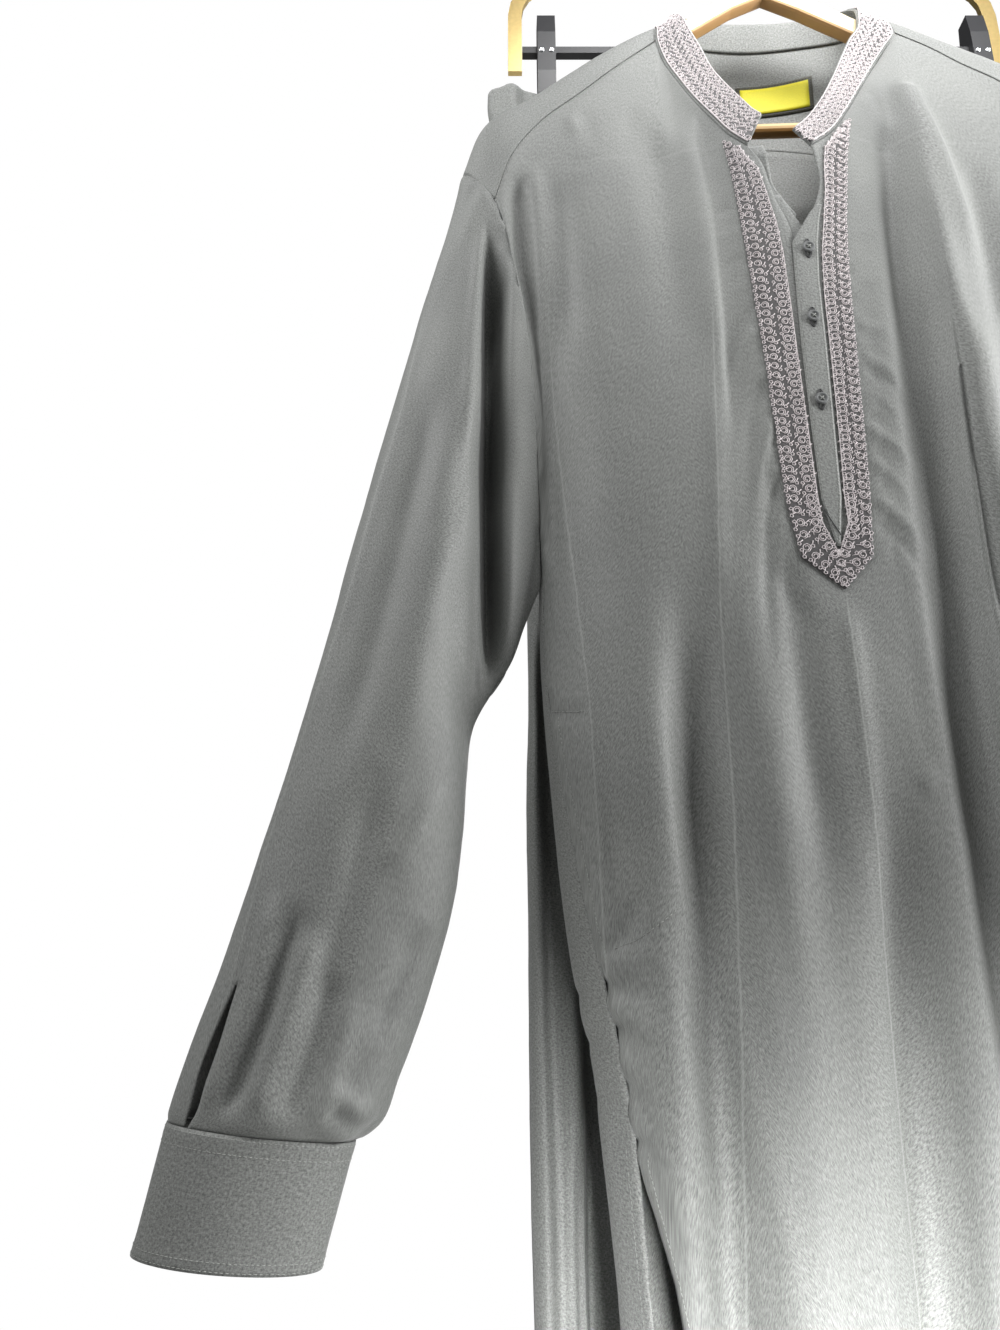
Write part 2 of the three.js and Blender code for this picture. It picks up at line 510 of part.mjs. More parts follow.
function sleeveSurface(sections, loop, slit) {
  const first = loop.map(([panel, i, j]) => PANELS[panel].points[i][j]);
  const grid = sections.map((section, n) => {
    if (n === 0) return first;
    const stay = BLEND_OUT[n] || 0;
    return first.map((p, k) => {
      const ideal = sectionPoint(section, k);
      const plain = sectionPoint(sections[0], k);
      return [0, 1, 2].map((c) => ideal[c] + (p[c] - plain[c]) * stay);
    });
  });
  if (slit) {
    for (let n = slit.row; n < grid.length; n++) {
      const a = grid[n][slit.column];
      const b = grid[n][slit.column + 1];
      const middle = mix(a, b, 0.5);
      const half = slit.half * (n === slit.row ? 0.5 : 1);
      const span = V(b).sub(V(a)).length();
      grid[n][slit.column] = mix(middle, a, (2 * half) / span);
      grid[n][slit.column + 1] = mix(middle, b, (2 * half) / span);
    }
  }
  const centres = grid.map((ring) => ring.reduce((sum, p) => sum.add(V(p)), new THREE.Vector3())
    .divideScalar(ring.length));
  const outward = (p) => {
    const n = grid.findIndex((ring) => ring.includes(p));
    return V(p).sub(centres[n]).normalize();
  };
  return surface(grid, outward, true);
}

function cuffSurface(sections, sleeve) {
  const last = sleeve.points[sleeve.points.length - 1];
  const grid = sections.map((section, n) => last.map((p, k) => (n === 0 ? p : sectionPoint(section, k))));
  const outward = (p) => {
    const ring = grid.find((r) => r.includes(p));
    const centre = ring.reduce((sum, q) => sum.add(V(q)), new THREE.Vector3()).divideScalar(ring.length);
    return V(p).sub(centre).normalize();
  };
  return surface(grid, outward, true);
}

const loopLeft = armholeLoop(0, 0, 0);
const loopRight = armholeLoop(FRONT_LAST, BACK_LAST, YOKE_BACK_X.length - 1);
const sleeveLeft = sleeveSurface(SLEEVE_LEFT, loopLeft, SLEEVE_SLIT);
const sleeveRight = sleeveSurface(SLEEVE_RIGHT, loopRight, SLEEVE_SLIT);
const cuffLeft = cuffSurface(CUFF_LEFT, sleeveLeft);
const cuffRight = cuffSurface(CUFF_RIGHT, sleeveRight);

// ---- collar ----
const neckSeam = [
  ...rowsOf(7, (k) => ['front', 0, LEFT_COLS - 1 - k]),
  ['yoke', 1, 5], ['yoke', 2, 5],
  ...rowsOf(5, (k) => ['yoke', 2, 6 + k]),
  ['yoke', 2, 11], ['yoke', 1, 11],
  ...rowsOf(7, (k) => ['front', 0, LEFT_COLS + 6 - k]),
];
const collarLow = neckSeam.map(([panel, i, j]) => PANELS[panel].points[i][j]);
const NECK_CENTRE = [6, 0, -160];
const collarGrid = [0, 0.5, 1].map((t) => collarLow.map((p, k) => mix(p, COLLAR_TOP[k], t)));
const fromNeck = (p) => new THREE.Vector3(p[0] - NECK_CENTRE[0], (p[1] - NECK_CENTRE[1]) * 1.5, 0).normalize();
const collar = surface(collarGrid, fromNeck);

// ---- seams ----
sew(front, across(0, 0, 5), yoke, across(0, 0, 5));
sew(front, across(0, LEFT_COLS + 6, FRONT_LAST), yoke, across(0, 11, 16));
sew(back, across(0, 0, BACK_LAST), yoke, across(YOKE_ROWS - 1, 0, 16));
const SEWN_ROWS = ALL_ROWS - UNDERARM_ROW - 5;
sew(front, column(SEWN_ROWS, 0, UNDERARM_ROW), back, column(SEWN_ROWS, 0, UNDERARM_ROW));
sew(front, column(SEWN_ROWS, FRONT_LAST, UNDERARM_ROW), back, column(SEWN_ROWS, BACK_LAST, UNDERARM_ROW));
for (const [sleeve, loop] of [[sleeveLeft, loopLeft], [sleeveRight, loopRight]]) {
  loop.forEach(([panel, i, j], k) => sew(sleeve, [[0, k]], PANELS[panel], [[i, j]]));
  loop.forEach(([panel, i, j], k) => sleeve.normals[0][k].copy(PANELS[panel].normals[i][j]));
}
// The underarm point belongs to three pieces.
for (const [frontCol, backCol] of [[0, 0], [FRONT_LAST, BACK_LAST]]) {
  back.normals[UNDERARM_ROW][backCol].copy(front.normals[UNDERARM_ROW][frontCol]);
}
for (const [sleeve, cuff] of [[sleeveLeft, cuffLeft], [sleeveRight, cuffRight]]) {
  const last = sleeve.points.length - 1;
  const ring = across(0, 0, cuff.points[0].length - 1);
  sew(sleeve, ring.map(([, k]) => [last, k]), cuff, ring);
}
neckSeam.forEach(([panel, i, j], k) => sew(collar, [[0, k]], PANELS[panel], [[i, j]]));

// ---- kameez meshes ----
const PLACKET_LEFT_COL = LEFT_COLS - 1;
const openRows = UPPER_ROWS.findIndex((t) => t >= 0.875);
const frontKeep = (i, j) => j !== PLACKET_LEFT_COL || i >= openRows;
// The side seams stand open along the pockets.
function frontPull(i, j, side) {
  const z = frontGrid[i][j][2];
  const atPocket = z < POCKET_TOP_Z - 1 && z > POCKET_END_Z + 1;
  if ((side === 'left' || side === 'right') && atPocket && (j === 0 || j === FRONT_LAST)) return 1.4;
  return SEAM_GAP / 2;
}
addMesh(shirt, 'kameez_front', wall(front, CLOTH, { keep: frontKeep, pull: frontPull }), COLOURS.cloth);
addMesh(shirt, 'kameez_back', wall(back, CLOTH), COLOURS.cloth);
const neckPull = (i, j, side) => (side === 'top' && i === 2 ? 0.5 : SEAM_GAP / 2);
addMesh(shirt, 'yoke', wall(yoke, CLOTH, { keep: yokeKeep, pull: neckPull }), COLOURS.cloth);
const slitKeep = (i, j) => !(i >= SLEEVE_SLIT.row && j === SLEEVE_SLIT.column);
// A sleeve's top rim stands a little further back, where it turns under the arm.
const capPull = (i) => (i === 0 ? 1.0 : SEAM_GAP / 2);
addMesh(shirt, 'sleeve_left', wall(sleeveLeft, CLOTH, { keep: slitKeep, pull: capPull }), COLOURS.cloth);
addMesh(shirt, 'sleeve_right', wall(sleeveRight, CLOTH, { keep: slitKeep, pull: capPull }), COLOURS.cloth);
addMesh(shirt, 'cuff_left', wall(cuffLeft, CUFF_CLOTH), COLOURS.cloth);
addMesh(shirt, 'cuff_right', wall(cuffRight, CUFF_CLOTH), COLOURS.cloth);
const bandPull = (i) => (i === 0 ? 0.5 : 0);
addMesh(shirt, 'collar_band', wall(collar, CUFF_CLOTH, { pull: bandPull }), COLOURS.cloth);

// ---- what lies on the front panel ----
// A strip laid on the front from rows of { z, left, right }, on its outer face.
function strip(rows, lift, thickness, columns = [0, 0.5, 1], inside = false) {
  const points = rows.map((row) => columns.map((c) => {
    const x = lerp(row.left, row.right, c);
    const z = row.zRight === undefined ? row.z : lerp(row.z, row.zRight, c);
    const found = seat(front, x, z, frontKeep);
    const y = found ? found.y : frontPlane(z);
    const normal = found ? found.normal : new THREE.Vector3(0, -1, 0);
    const off = inside ? -(CLOTH + lift) : lift + thickness;
    return [x + normal.x * off, y + normal.y * off, z + normal.z * off];
  }));
  return wall(surface(points, toFront), thickness, { pull: () => 0 });
}

const OVERLAP = [
  { z: -331, left: 12, right: 14.5 },
  { z: -345, left: 2, right: 11.5 },
  { z: -362, left: -7.5, right: 9 },
  { z: -392, left: -8.3, right: 7 },
  { z: -440, left: -9, right: 6.6 },
  { z: -500, left: -8.6, right: 5.4 },
  { z: -547, left: -7.4, right: 4.4 },
  { z: -578, left: -1.5, right: 0.5 },
];
addMesh(shirt, 'placket_overlap', strip(OVERLAP, LAY_GAP, 1.2), COLOURS.cloth);
const UNDERLAP = [
  { z: -322, left: -20, right: -11 },
  { z: -338, left: -19, right: -4 },
  { z: -362, left: -17, right: 9 },
  { z: -440, left: -15, right: 10 },
  { z: -530, left: -14, right: 10 },
  { z: -572, left: -13, right: 9 },
];
addMesh(shirt, 'placket_underlap', strip(UNDERLAP, LAY_GAP, 1.2, [0, 0.5, 1], true), COLOURS.shade);

// Embroidered border: down the left side, round the point under the placket, up the right.
const EMBROIDERY = [
  { z: -271, left: -45, right: -34.5, zRight: -283 },
  { z: -286, left: -43, right: -31, zRight: -291 },
  { z: -300, left: -41.5, right: -24.5 },
  { z: -320, left: -40, right: -20.5 },
  { z: -345, left: -38.5, right: -16 },
  { z: -369, left: -37, right: -13.7 },
  { z: -404, left: -35, right: -12.6 },
  { z: -454, left: -32.3, right: -11.6 },
  { z: -510, left: -30.4, right: -10.2 },
  { z: -547, left: -28.6, right: -9.2 },
  { z: -585, left: -23, right: -8.2, zRight: -562 },
  { z: -605, left: 0.5, right: -0.6, zRight: -583 },
  { z: -585, left: 19, right: 6.8, zRight: -562 },
  { z: -547, left: 21.6, right: 6.2 },
  { z: -510, left: 23, right: 7.4 },
  { z: -454, left: 24.8, right: 8.4 },
  { z: -404, left: 26.6, right: 9 },
  { z: -369, left: 28.6, right: 11 },
  { z: -345, left: 30.4, right: 14.5 },
  { z: -320, left: 33.6, right: 18 },
  { z: -298, left: 36.6, right: 19.5 },
  { z: -280, left: 39.2, right: 22, zRight: -282 },
  { z: -262, left: 42.5, right: 28.5, zRight: -272 },
  { z: -248, left: 45.5, right: 33.5, zRight: -265 },
];
addMesh(shirt, 'placket_embroidery', strip(EMBROIDERY, LAY_GAP + 0.2, TRIM, [0, 0.33, 0.67, 1]), COLOURS.thread);

// Embroidery on the collar, laid on the band's outer face.
const collarTrim = [0.08, 0.5, 0.94].map((t) => collarLow.map((p, k) => {
  const [low, high] = t < 0.5 ? [0, 1] : [1, 2];
  const n = collar.normals[low][k].clone().lerp(collar.normals[high][k], 2 * t - low).normalize();
  const q = mix(p, COLLAR_TOP[k], t);
  const off = LAY_GAP + 0.6 + TRIM;
  return [q[0] + n.x * off, q[1] + n.y * off, q[2] + n.z * off];
}));
addMesh(shirt, 'collar_embroidery', wall(surface(collarTrim, fromNeck), TRIM, { pull: () => 0.6 }), COLOURS.thread);

// Buttons stand on the placket's overlap.
const BUTTON_PLACES = [{ x: 2, z: -367 }, { x: 0, z: -420 }, { x: -1, z: -480 }];
const BUTTON_NAMES = ['button_top', 'button_middle', 'button_lower'];
BUTTON_PLACES.forEach((place, k) => {
  const radius = BUTTON.diameter / 2;
  const disc = new THREE.CylinderGeometry(radius, radius, BUTTON.thickness, 14);
  const mesh = addMesh(shirt, BUTTON_NAMES[k], disc, COLOURS.button, 0.4);
  const lift = LAY_GAP + 1.2 + SEAM_GAP + BUTTON.thickness / 2;
  mesh.position.set(place.x, frontPlane(place.z) - lift - 0.1, place.z);
});

// Pocket bags behind the front, from the side seam inwards.
function pocketBag(isLeft) {
  const side = isLeft ? SIDE_LEFT : SIDE_RIGHT;
  const way = isLeft ? 1 : -1;
  const levels = [-682, -712, -742, -772, -796];
  const rows = levels.map((z, k) => {
    const near = read(side, 'seam', z) + way * 9;
    const far = isLeft ? -98 : 122;
    return { z, zRight: k === levels.length - 1 ? z + 14 : z, left: near, right: far };
  });
  return strip(rows, 0.9, 1.2, [0, 0.17, 0.34, 0.5, 0.67, 0.84, 1], true);
}
addMesh(shirt, 'pocket_bag_left', pocketBag(true), COLOURS.shade);
addMesh(shirt, 'pocket_bag_right', pocketBag(false), COLOURS.shade);

// Blank label inside the back of the neck.
const LABEL = { centre: [22, -147], width: 60, height: 31, slope: 0.1, thickness: 1 };
const labelGrid = [0.5, 0, -0.5].map((v) => [-0.5, -0.17, 0.17, 0.5].map((u) => {
  const x = LABEL.centre[0] + u * LABEL.width;
  const z = LABEL.centre[1] + v * LABEL.height + u * LABEL.width * LABEL.slope;
  const found = seat(yoke, x, z, (i, j) => i >= 2 && j >= 5 && j < 11);
  return [x, found.y - CLOTH - 0.6, z];
}));
addMesh(shirt, 'neck_label', wall(surface(labelGrid, toBack), LABEL.thickness, { pull: () => 0 }), COLOURS.label, 0.6);

// ---- wooden hanger ----
const HANGER_TOP = [
  [-204, -236], [-200, -223], [-176, -201.6], [-149, -179.6], [-122, -158.6], [-80, -135], [-58, -121.5],
  [-30, -100], [-10, -86], [5, -81], [20, -85], [45, -100], [72, -118], [93, -127.5], [125, -141.6],
  [150, -154.6], [178, -169.6], [200, -187], [208, -206],
];
const HANGER_UNDER = [
  [208, -224], [197, -224], [197, -205], [178, -196], [140, -175], [110, -158], [69, -134], [30, -110],
  [5, -97], [-20, -110], [-50, -132], [-90, -157], [-130, -185], [-165, -209], [-187.6, -224],
  [-187.6, -240], [-203, -240],
];
const HANGER_DEPTH = 6;   // extruded depth between the rounded edges
const HANGER_BEVEL = 2.4; // rounded edge on each side
const armShape = new THREE.Shape([...HANGER_TOP, ...HANGER_UNDER].map(([x, z]) => new THREE.Vector2(x, z)));
const arms = new THREE.ExtrudeGeometry(armShape, {
  depth: HANGER_DEPTH, bevelEnabled: true, bevelThickness: HANGER_BEVEL, bevelSize: 2,
  bevelOffset: -2, bevelSegments: 2,
});
arms.rotateX(Math.PI / 2);
arms.translate(0, HANGER_DEPTH / 2, 0);
addMesh(shirt, 'hanger_arms', arms, COLOURS.wood, 0.5);

const BAR = { diameter: 10, left: [-187.1, -231], right: [196.5, -214.5] };
const barLength = Math.hypot(BAR.right[0] - BAR.left[0], BAR.right[1] - BAR.left[1]);
const bar = addMesh(shirt, 'hanger_bar',
  new THREE.CylinderGeometry(BAR.diameter / 2, BAR.diameter / 2, barLength, 16), COLOURS.rod, 0.45);
bar.lookAt(1, 0, (BAR.right[1] - BAR.left[1]) / (BAR.right[0] - BAR.left[0]));
bar.rotateX(Math.PI / 2);
bar.position.set((BAR.left[0] + BAR.right[0]) / 2, 0, (BAR.left[1] + BAR.right[1]) / 2);

// A rod of a given outline along a smooth path.
function rod(path, outline, steps) {
  const curve = new THREE.CatmullRomCurve3(path.map(V), false, 'centripetal');
  return new THREE.ExtrudeGeometry(outline, { steps, extrudePath: curve, bevelEnabled: false });
}
const circle = (radius, sides) => new THREE.Shape(rowsOf(sides, (k) => new THREE.Vector2(
  radius * Math.cos((2 * Math.PI * k) / sides), radius * Math.sin((2 * Math.PI * k) / sides))));
const HOOK_RADIUS = 21; // of the wire's centre line
const HOOK = [
  [5, 0, -80.6], [5, 0, -66], [9, 0, -52], [18, 0, -38],
  ...[-20, 15, 50, 90, 130, 165, 190].map((deg) => [
    HOOK_RADIUS * Math.cos((deg * Math.PI) / 180), 0,
    RAIL_WIRE / 2 - HOOK_RADIUS + HOOK_RADIUS * Math.sin((deg * Math.PI) / 180)]),
];
addMesh(shirt, 'hanger_hook', rod(HOOK, circle(RAIL_WIRE / 2, 8), 30), COLOURS.steel, 0.3, 1);

// ---- shalwar ----
// Columns of a leg seen from above: share 0 is the centre seam, 1 the outer edge.
// top is the share at the gathered waist. fold is the depth from the clip plane below the
// waist, and waist the depth where it is gathered.
const LEG = [
  { share: 0, top: 0, fold: -15, waist: -15 },
  { share: 0.12, top: 0.12, fold: -12, waist: -20 },
  { share: 0.25, top: 0.25, fold: -21, waist: -13 },
  { share: 0.38, top: 0.37, fold: -9, waist: -20 },
  { share: 0.5, top: 0.48, fold: -21, waist: -12 },
  { share: 0.63, top: 0.58, fold: -12, waist: -17 },
  { share: 0.7, top: 0.64, fold: 14, waist: -12 },
  { share: 0.82, top: 0.7, fold: 12, waist: -6 },
  { share: 0.855, top: 0.752, fold: -11, waist: -2.2 },
  { share: 0.9, top: 0.821, fold: -18, waist: -2.2 },
  { share: 0.965, top: 0.93, fold: -14, waist: -12 },
  { share: 1, top: 1, fold: 1, waist: 0 },
  { share: 0.96, top: 0.93, fold: 17, waist: 11 },
  { share: 0.9, top: 0.821, fold: 22, waist: 2.2 },
  { share: 0.855, top: 0.752, fold: 25, waist: 2.2 },
  { share: 0.7, top: 0.62, fold: 28, waist: 13 },
  { share: 0.5, top: 0.46, fold: 20, waist: 20 },
  { share: 0.3, top: 0.3, fold: 27, waist: 14 },
  { share: 0.12, top: 0.12, fold: 21, waist: 19 },
  { share: 0, top: 0, fold: 24, waist: 17 },
];
// Leg edges by height, from the centre line: outer is the outside edge, inner the inside edge.
const LEG_EDGES = [
  { z: -97, outer: 238, inner: 0 },
  { z: -112, outer: 238, inner: 0 },
  { z: -150, outer: 232, inner: 0 },
  { z: -200, outer: 222, inner: 0 },
  { z: -280, outer: 212, inner: 0 },
  { z: -360, outer: 209, inner: 0 },
  { z: -450, outer: 208, inner: 0 },
  { z: CROTCH_Z, outer: 208, inner: 0 },
  { z: -610, outer: 208, inner: 4 },
  { z: -700, outer: 210, inner: 7 },
  { z: -790, outer: 209, inner: 10 },
  { z: -880, outer: 208, inner: 14 },
  { z: -970, outer: 207, inner: 20 },
  { z: -1050, outer: 205, inner: 26 },
  { z: -1115, outer: 201, inner: 32 },
];
const WAIST_ROWS = 3;
function legPoint(side, row, k) {
  const edges = LEG_EDGES[row];
  const c = LEG[k];
  const gathered = row < 2 ? 1 : clamp01(1 - (row - 1) / 4);
  const share = lerp(c.share, c.top, gathered * gathered);
  const x = lerp(edges.inner, edges.outer, share);
  const y = lerp(c.fold, c.waist, gathered * gathered);
  const narrow = row > 10 ? 1 - 0.05 * (row - 10) : 1;
  return [SHALWAR_X + side * x, SHALWAR_Y + y * narrow, edges.z];
}
const legRows = (side, from, to) => rowsOf(to - from + 1, (n) => LEG.map((_, k) => legPoint(side, from + n, k)));
const CROTCH_ROW = LEG_EDGES.findIndex((row) => row.z === CROTCH_Z) - (WAIST_ROWS - 1);
const legOut = (side) => (p) => {
  const centre = SHALWAR_X + side * 105;
  return new THREE.Vector3((p[0] - centre) / 105, (p[1] - SHALWAR_Y - 3) / 12, 0).normalize();
};
const legKeep = (i, j) => j < LEG.length - 1 || i >= CROTCH_ROW;
const legLeft = surface(legRows(-1, WAIST_ROWS - 1, LEG_EDGES.length - 1), legOut(-1), true);
const legRight = surface(legRows(1, WAIST_ROWS - 1, LEG_EDGES.length - 1), legOut(1), true);

// The waistband is one ring: the left half from front centre to back centre, then the right.
const waistGrid = rowsOf(WAIST_ROWS, (row) => [
  ...LEG.map((_, k) => legPoint(-1, row, k)),
  ...LEG.slice(1, -1).map((_, k) => legPoint(1, row, LEG.length - 2 - k)),
]);
const waistOut = (p) => new THREE.Vector3((p[0] - SHALWAR_X) / 240, (p[1] - SHALWAR_Y) / 14, 0).normalize();
const waistband = surface(waistGrid, waistOut, true);

// The centre seams keep a straight normal above the crotch.
for (const leg of [legLeft, legRight]) {
  leg.points.forEach((row, i) => {
    if (i > CROTCH_ROW) return;
    leg.normals[i][0].set(0, -1, 0);
    leg.normals[i][LEG.length - 1].set(0, 1, 0);
  });
}
waistband.normals.forEach((row) => {
  row[0].set(0, -1, 0);
  row[LEG.length - 1].set(0, 1, 0);
});
const WAIST_COUNT = waistGrid[0].length;
LEG.forEach((_, k) => {
  sew(legLeft, [[0, k]], waistband, [[WAIST_ROWS - 1, k]]);
  const m = (WAIST_COUNT - k) % WAIST_COUNT;
  sew(legRight, [[0, k]], waistband, [[WAIST_ROWS - 1, k === LEG.length - 1 ? LEG.length - 1 : m]]);
});
addMesh(trousers, 'shalwar_leg_left', wall(legLeft, CLOTH, { keep: legKeep }), COLOURS.cloth);
addMesh(trousers, 'shalwar_leg_right', wall(legRight, CLOTH, { keep: legKeep }), COLOURS.cloth);
addMesh(trousers, 'shalwar_waistband', wall(waistband, CLOTH), COLOURS.cloth);

// ---- gold clip hanger ----
const FRAME = { left: -184, right: 233, foot: -72, top: 34, corner: 42, width: 12, depth: 5 };
const FRAME_MIDDLE = (FRAME.left + FRAME.right) / 2;
const arcPoints = (cx, cz, radius, from, to, count) => rowsOf(count, (k) => {
  const a = THREE.MathUtils.degToRad(lerp(from, to, k / (count - 1)));
  return [cx + radius * Math.cos(a), SHALWAR_Y, cz + radius * Math.sin(a)];
});
const framePath = [
  [FRAME.left, SHALWAR_Y, FRAME.foot],
  [FRAME.left, SHALWAR_Y, FRAME.foot + 30],
  ...arcPoints(FRAME.left + FRAME.corner, FRAME.top - FRAME.corner, FRAME.corner, 180, 90, 6),
  [FRAME_MIDDLE, SHALWAR_Y, FRAME.top],
  ...arcPoints(FRAME.right - FRAME.corner, FRAME.top - FRAME.corner, FRAME.corner, 90, 0, 6),
  [FRAME.right, SHALWAR_Y, FRAME.foot + 30],
  [FRAME.right, SHALWAR_Y, FRAME.foot],
];
// A flat bar swept along a path that lies in the hanger's plane.
function flatBar(path, width, depth) {
  const rings = path.map((p, n) => {
    const a = V(path[Math.max(n - 1, 0)]);
    const b = V(path[Math.min(n + 1, path.length - 1)]);
    const along = b.sub(a).normalize();
    const side = new THREE.Vector3(along.z, 0, -along.x).multiplyScalar(width / 2);
    const deep = new THREE.Vector3(0, depth / 2, 0);
    return [
      V(p).add(side).sub(deep), V(p).add(side).add(deep),
      V(p).sub(side).add(deep), V(p).sub(side).sub(deep),
    ];
  });
  const triangles = [];
  for (let n = 0; n < rings.length - 1; n++) {
    for (let k = 0; k < 4; k++) {
      const [a, b, c, d] = [rings[n][k], rings[n][(k + 1) % 4], rings[n + 1][(k + 1) % 4], rings[n + 1][k]];
      triangles.push(a, b, c, a, c, d);
    }
  }
  const first = rings[0];
  const last = rings[rings.length - 1];
  triangles.push(first[0], first[2], first[1], first[0], first[3], first[2]);
  triangles.push(last[0], last[1], last[2], last[0], last[2], last[3]);
  const data = new Float32Array(triangles.length * 3);
  triangles.forEach((p, k) => p.toArray(data, 3 * k));
  const geometry = new THREE.BufferGeometry();
  geometry.setAttribute('position', new THREE.BufferAttribute(data, 3));
  geometry.computeVertexNormals();
  return geometry;
}
addMesh(trousers, 'clip_hanger_frame', flatBar(framePath, FRAME.width, FRAME.depth), COLOURS.gold, 0.3, 1);

const CLIP_HOOK = { wire: 5, radius: 20, rise: 92 };
const clipHookPath = [
  [FRAME_MIDDLE, SHALWAR_Y, FRAME.top + FRAME.width / 2 + SEAM_GAP],
  [FRAME_MIDDLE, SHALWAR_Y, FRAME.top + 15],
  [FRAME_MIDDLE + 8, SHALWAR_Y, CLIP_HOOK.rise - 36],
  ...[-25, 10, 50, 90, 130, 165, 190].map((deg) => [
    FRAME_MIDDLE + CLIP_HOOK.radius * Math.cos((deg * Math.PI) / 180), SHALWAR_Y,
    CLIP_HOOK.rise + CLIP_HOOK.wire / 2 - CLIP_HOOK.radius
      + CLIP_HOOK.radius * Math.sin((deg * Math.PI) / 180)]),
];
addMesh(trousers, 'clip_hanger_hook', rod(clipHookPath, circle(CLIP_HOOK.wire / 2, 8), 26), COLOURS.gold, 0.3, 1);

const RAIL = { z: -49, size: 7 }; // black cross bar that carries the clips
const railLength = FRAME.right - FRAME.left - FRAME.width - 2 * SEAM_GAP;
const rail = addMesh(trousers, 'clip_hanger_bar', new THREE.BoxGeometry(railLength, RAIL.size, RAIL.size), COLOURS.clip, 0.5);
rail.position.set(FRAME_MIDDLE, SHALWAR_Y, RAIL.z);

// A clip seen from the side: two jaws below a block that is slotted over the bar.
const CLIP = { width: 15.6, top: -14, foot: -111, gap: 2.7, wall: 4 };
function clipGeometry() {
  const half = RAIL.size / 2 + SEAM_GAP;
  const outline = new THREE.Shape([
    [-7, CLIP.top], [-10, CLIP.top - 22], [-10, CLIP.foot + 32], [-CLIP.gap - CLIP.wall, CLIP.foot + 12],
    [-CLIP.gap - CLIP.wall, CLIP.foot], [-CLIP.gap, CLIP.foot], [-CLIP.gap, CLIP.foot + 26],
    [CLIP.gap, CLIP.foot + 26], [CLIP.gap, CLIP.foot], [CLIP.gap + CLIP.wall, CLIP.foot],
    [CLIP.gap + CLIP.wall, CLIP.foot + 12], [10, CLIP.foot + 32], [10, CLIP.top - 22], [7, CLIP.top],
  ].map(([y, z]) => new THREE.Vector2(y, z)));
  const slot = [[-half, RAIL.z - half], [half, RAIL.z - half], [half, RAIL.z + half], [-half, RAIL.z + half]];
  outline.holes.push(new THREE.Path(slot.map(([y, z]) => new THREE.Vector2(y, z))));
  const clip = new THREE.ExtrudeGeometry(outline, { depth: CLIP.width, bevelEnabled: false });
  clip.translate(0, 0, -CLIP.width / 2);
  // The outline's plane becomes Y-Z, and its depth runs along X.
  const basis = new THREE.Matrix4().makeBasis(
    new THREE.Vector3(0, 1, 0), new THREE.Vector3(0, 0, 1), new THREE.Vector3(1, 0, 0));
  clip.applyMatrix4(basis);
  return clip;
}
for (const [name, x] of [['clip_left', -157], ['clip_right', 217]]) {
  const clip = addMesh(trousers, name, clipGeometry(), COLOURS.clip, 0.5);
  clip.position.set(x, SHALWAR_Y, 0);
}

export default parts;
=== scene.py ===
"""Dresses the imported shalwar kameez: thin cloth shells on the forms of its solids, with
their creases, seams, stitching and embroidery, and materials for the two hangers.
Lengths are in millimetres until a mesh is made, and metres from there on."""
import itertools
import math
import random

import bpy
import numpy as np
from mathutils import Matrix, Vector
from mathutils.bvhtree import BVHTree


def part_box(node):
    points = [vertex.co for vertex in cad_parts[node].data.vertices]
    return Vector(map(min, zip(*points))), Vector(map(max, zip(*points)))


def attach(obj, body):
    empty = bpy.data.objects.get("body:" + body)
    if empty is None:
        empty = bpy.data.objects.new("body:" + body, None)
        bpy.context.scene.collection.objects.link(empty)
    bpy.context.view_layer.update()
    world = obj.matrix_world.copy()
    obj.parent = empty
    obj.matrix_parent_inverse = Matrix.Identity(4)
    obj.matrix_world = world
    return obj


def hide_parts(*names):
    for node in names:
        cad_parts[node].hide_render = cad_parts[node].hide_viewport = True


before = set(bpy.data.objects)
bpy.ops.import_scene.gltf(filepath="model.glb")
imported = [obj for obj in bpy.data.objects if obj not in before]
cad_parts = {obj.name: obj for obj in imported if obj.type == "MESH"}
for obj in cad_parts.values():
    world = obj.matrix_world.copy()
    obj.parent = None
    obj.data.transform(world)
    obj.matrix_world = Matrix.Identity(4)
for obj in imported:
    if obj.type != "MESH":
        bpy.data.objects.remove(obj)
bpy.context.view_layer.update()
MM = 0.001

# ---- driving dimensions, as in the solids ----
ARMPIT_Z = -585
POCKET_TOP_Z = -673
POCKET_END_Z = -811
SLIT_TOP_Z = -901
HEM_Z = -1241
FRONT_Y = -45
FRONT_LEAN = 0.0094
BACK_Y = 42
SHALWAR_X = 30
SHALWAR_Y = 85
CROTCH_Z = -530
CLOTH = 0.8          # thickness of the shells of single cloth
CUFF_CLOTH = 2.0
LAY_GAP = 0.4        # between a piece and the cloth that it lies on


def lerp(a, b, t):
    """The share t of the way from one number, or array, to another."""
    return a + (b - a) * t


def mix(p, q, t):
    """The same between two points."""
    return [lerp(a, b, t) for a, b in zip(p, q)]


def clamp01(t):
    return min(1.0, max(0.0, t))


def smoothstep(t):
    """0 to 1 with a soft start and end."""
    return t * t * (3 - 2 * t)


def rise(value, start, over):
    """0 up to start, then straight up to 1 over the given stretch."""
    return np.clip((value - start) / over, 0, 1)


def rows(columns, table):
    """A table as a list of rows, each with its columns by name."""
    return [dict(zip(columns.split(), row)) for row in table]


def read(table, column, z):
    """A column of a table by height, straight between its rows, which run downwards."""
    if z >= table[0]["z"]:
        return table[0][column]
    for a, b in zip(table, table[1:]):
        if z >= b["z"]:
            return lerp(a[column], b[column], (a["z"] - z) / (a["z"] - b["z"]))
    return table[-1][column]


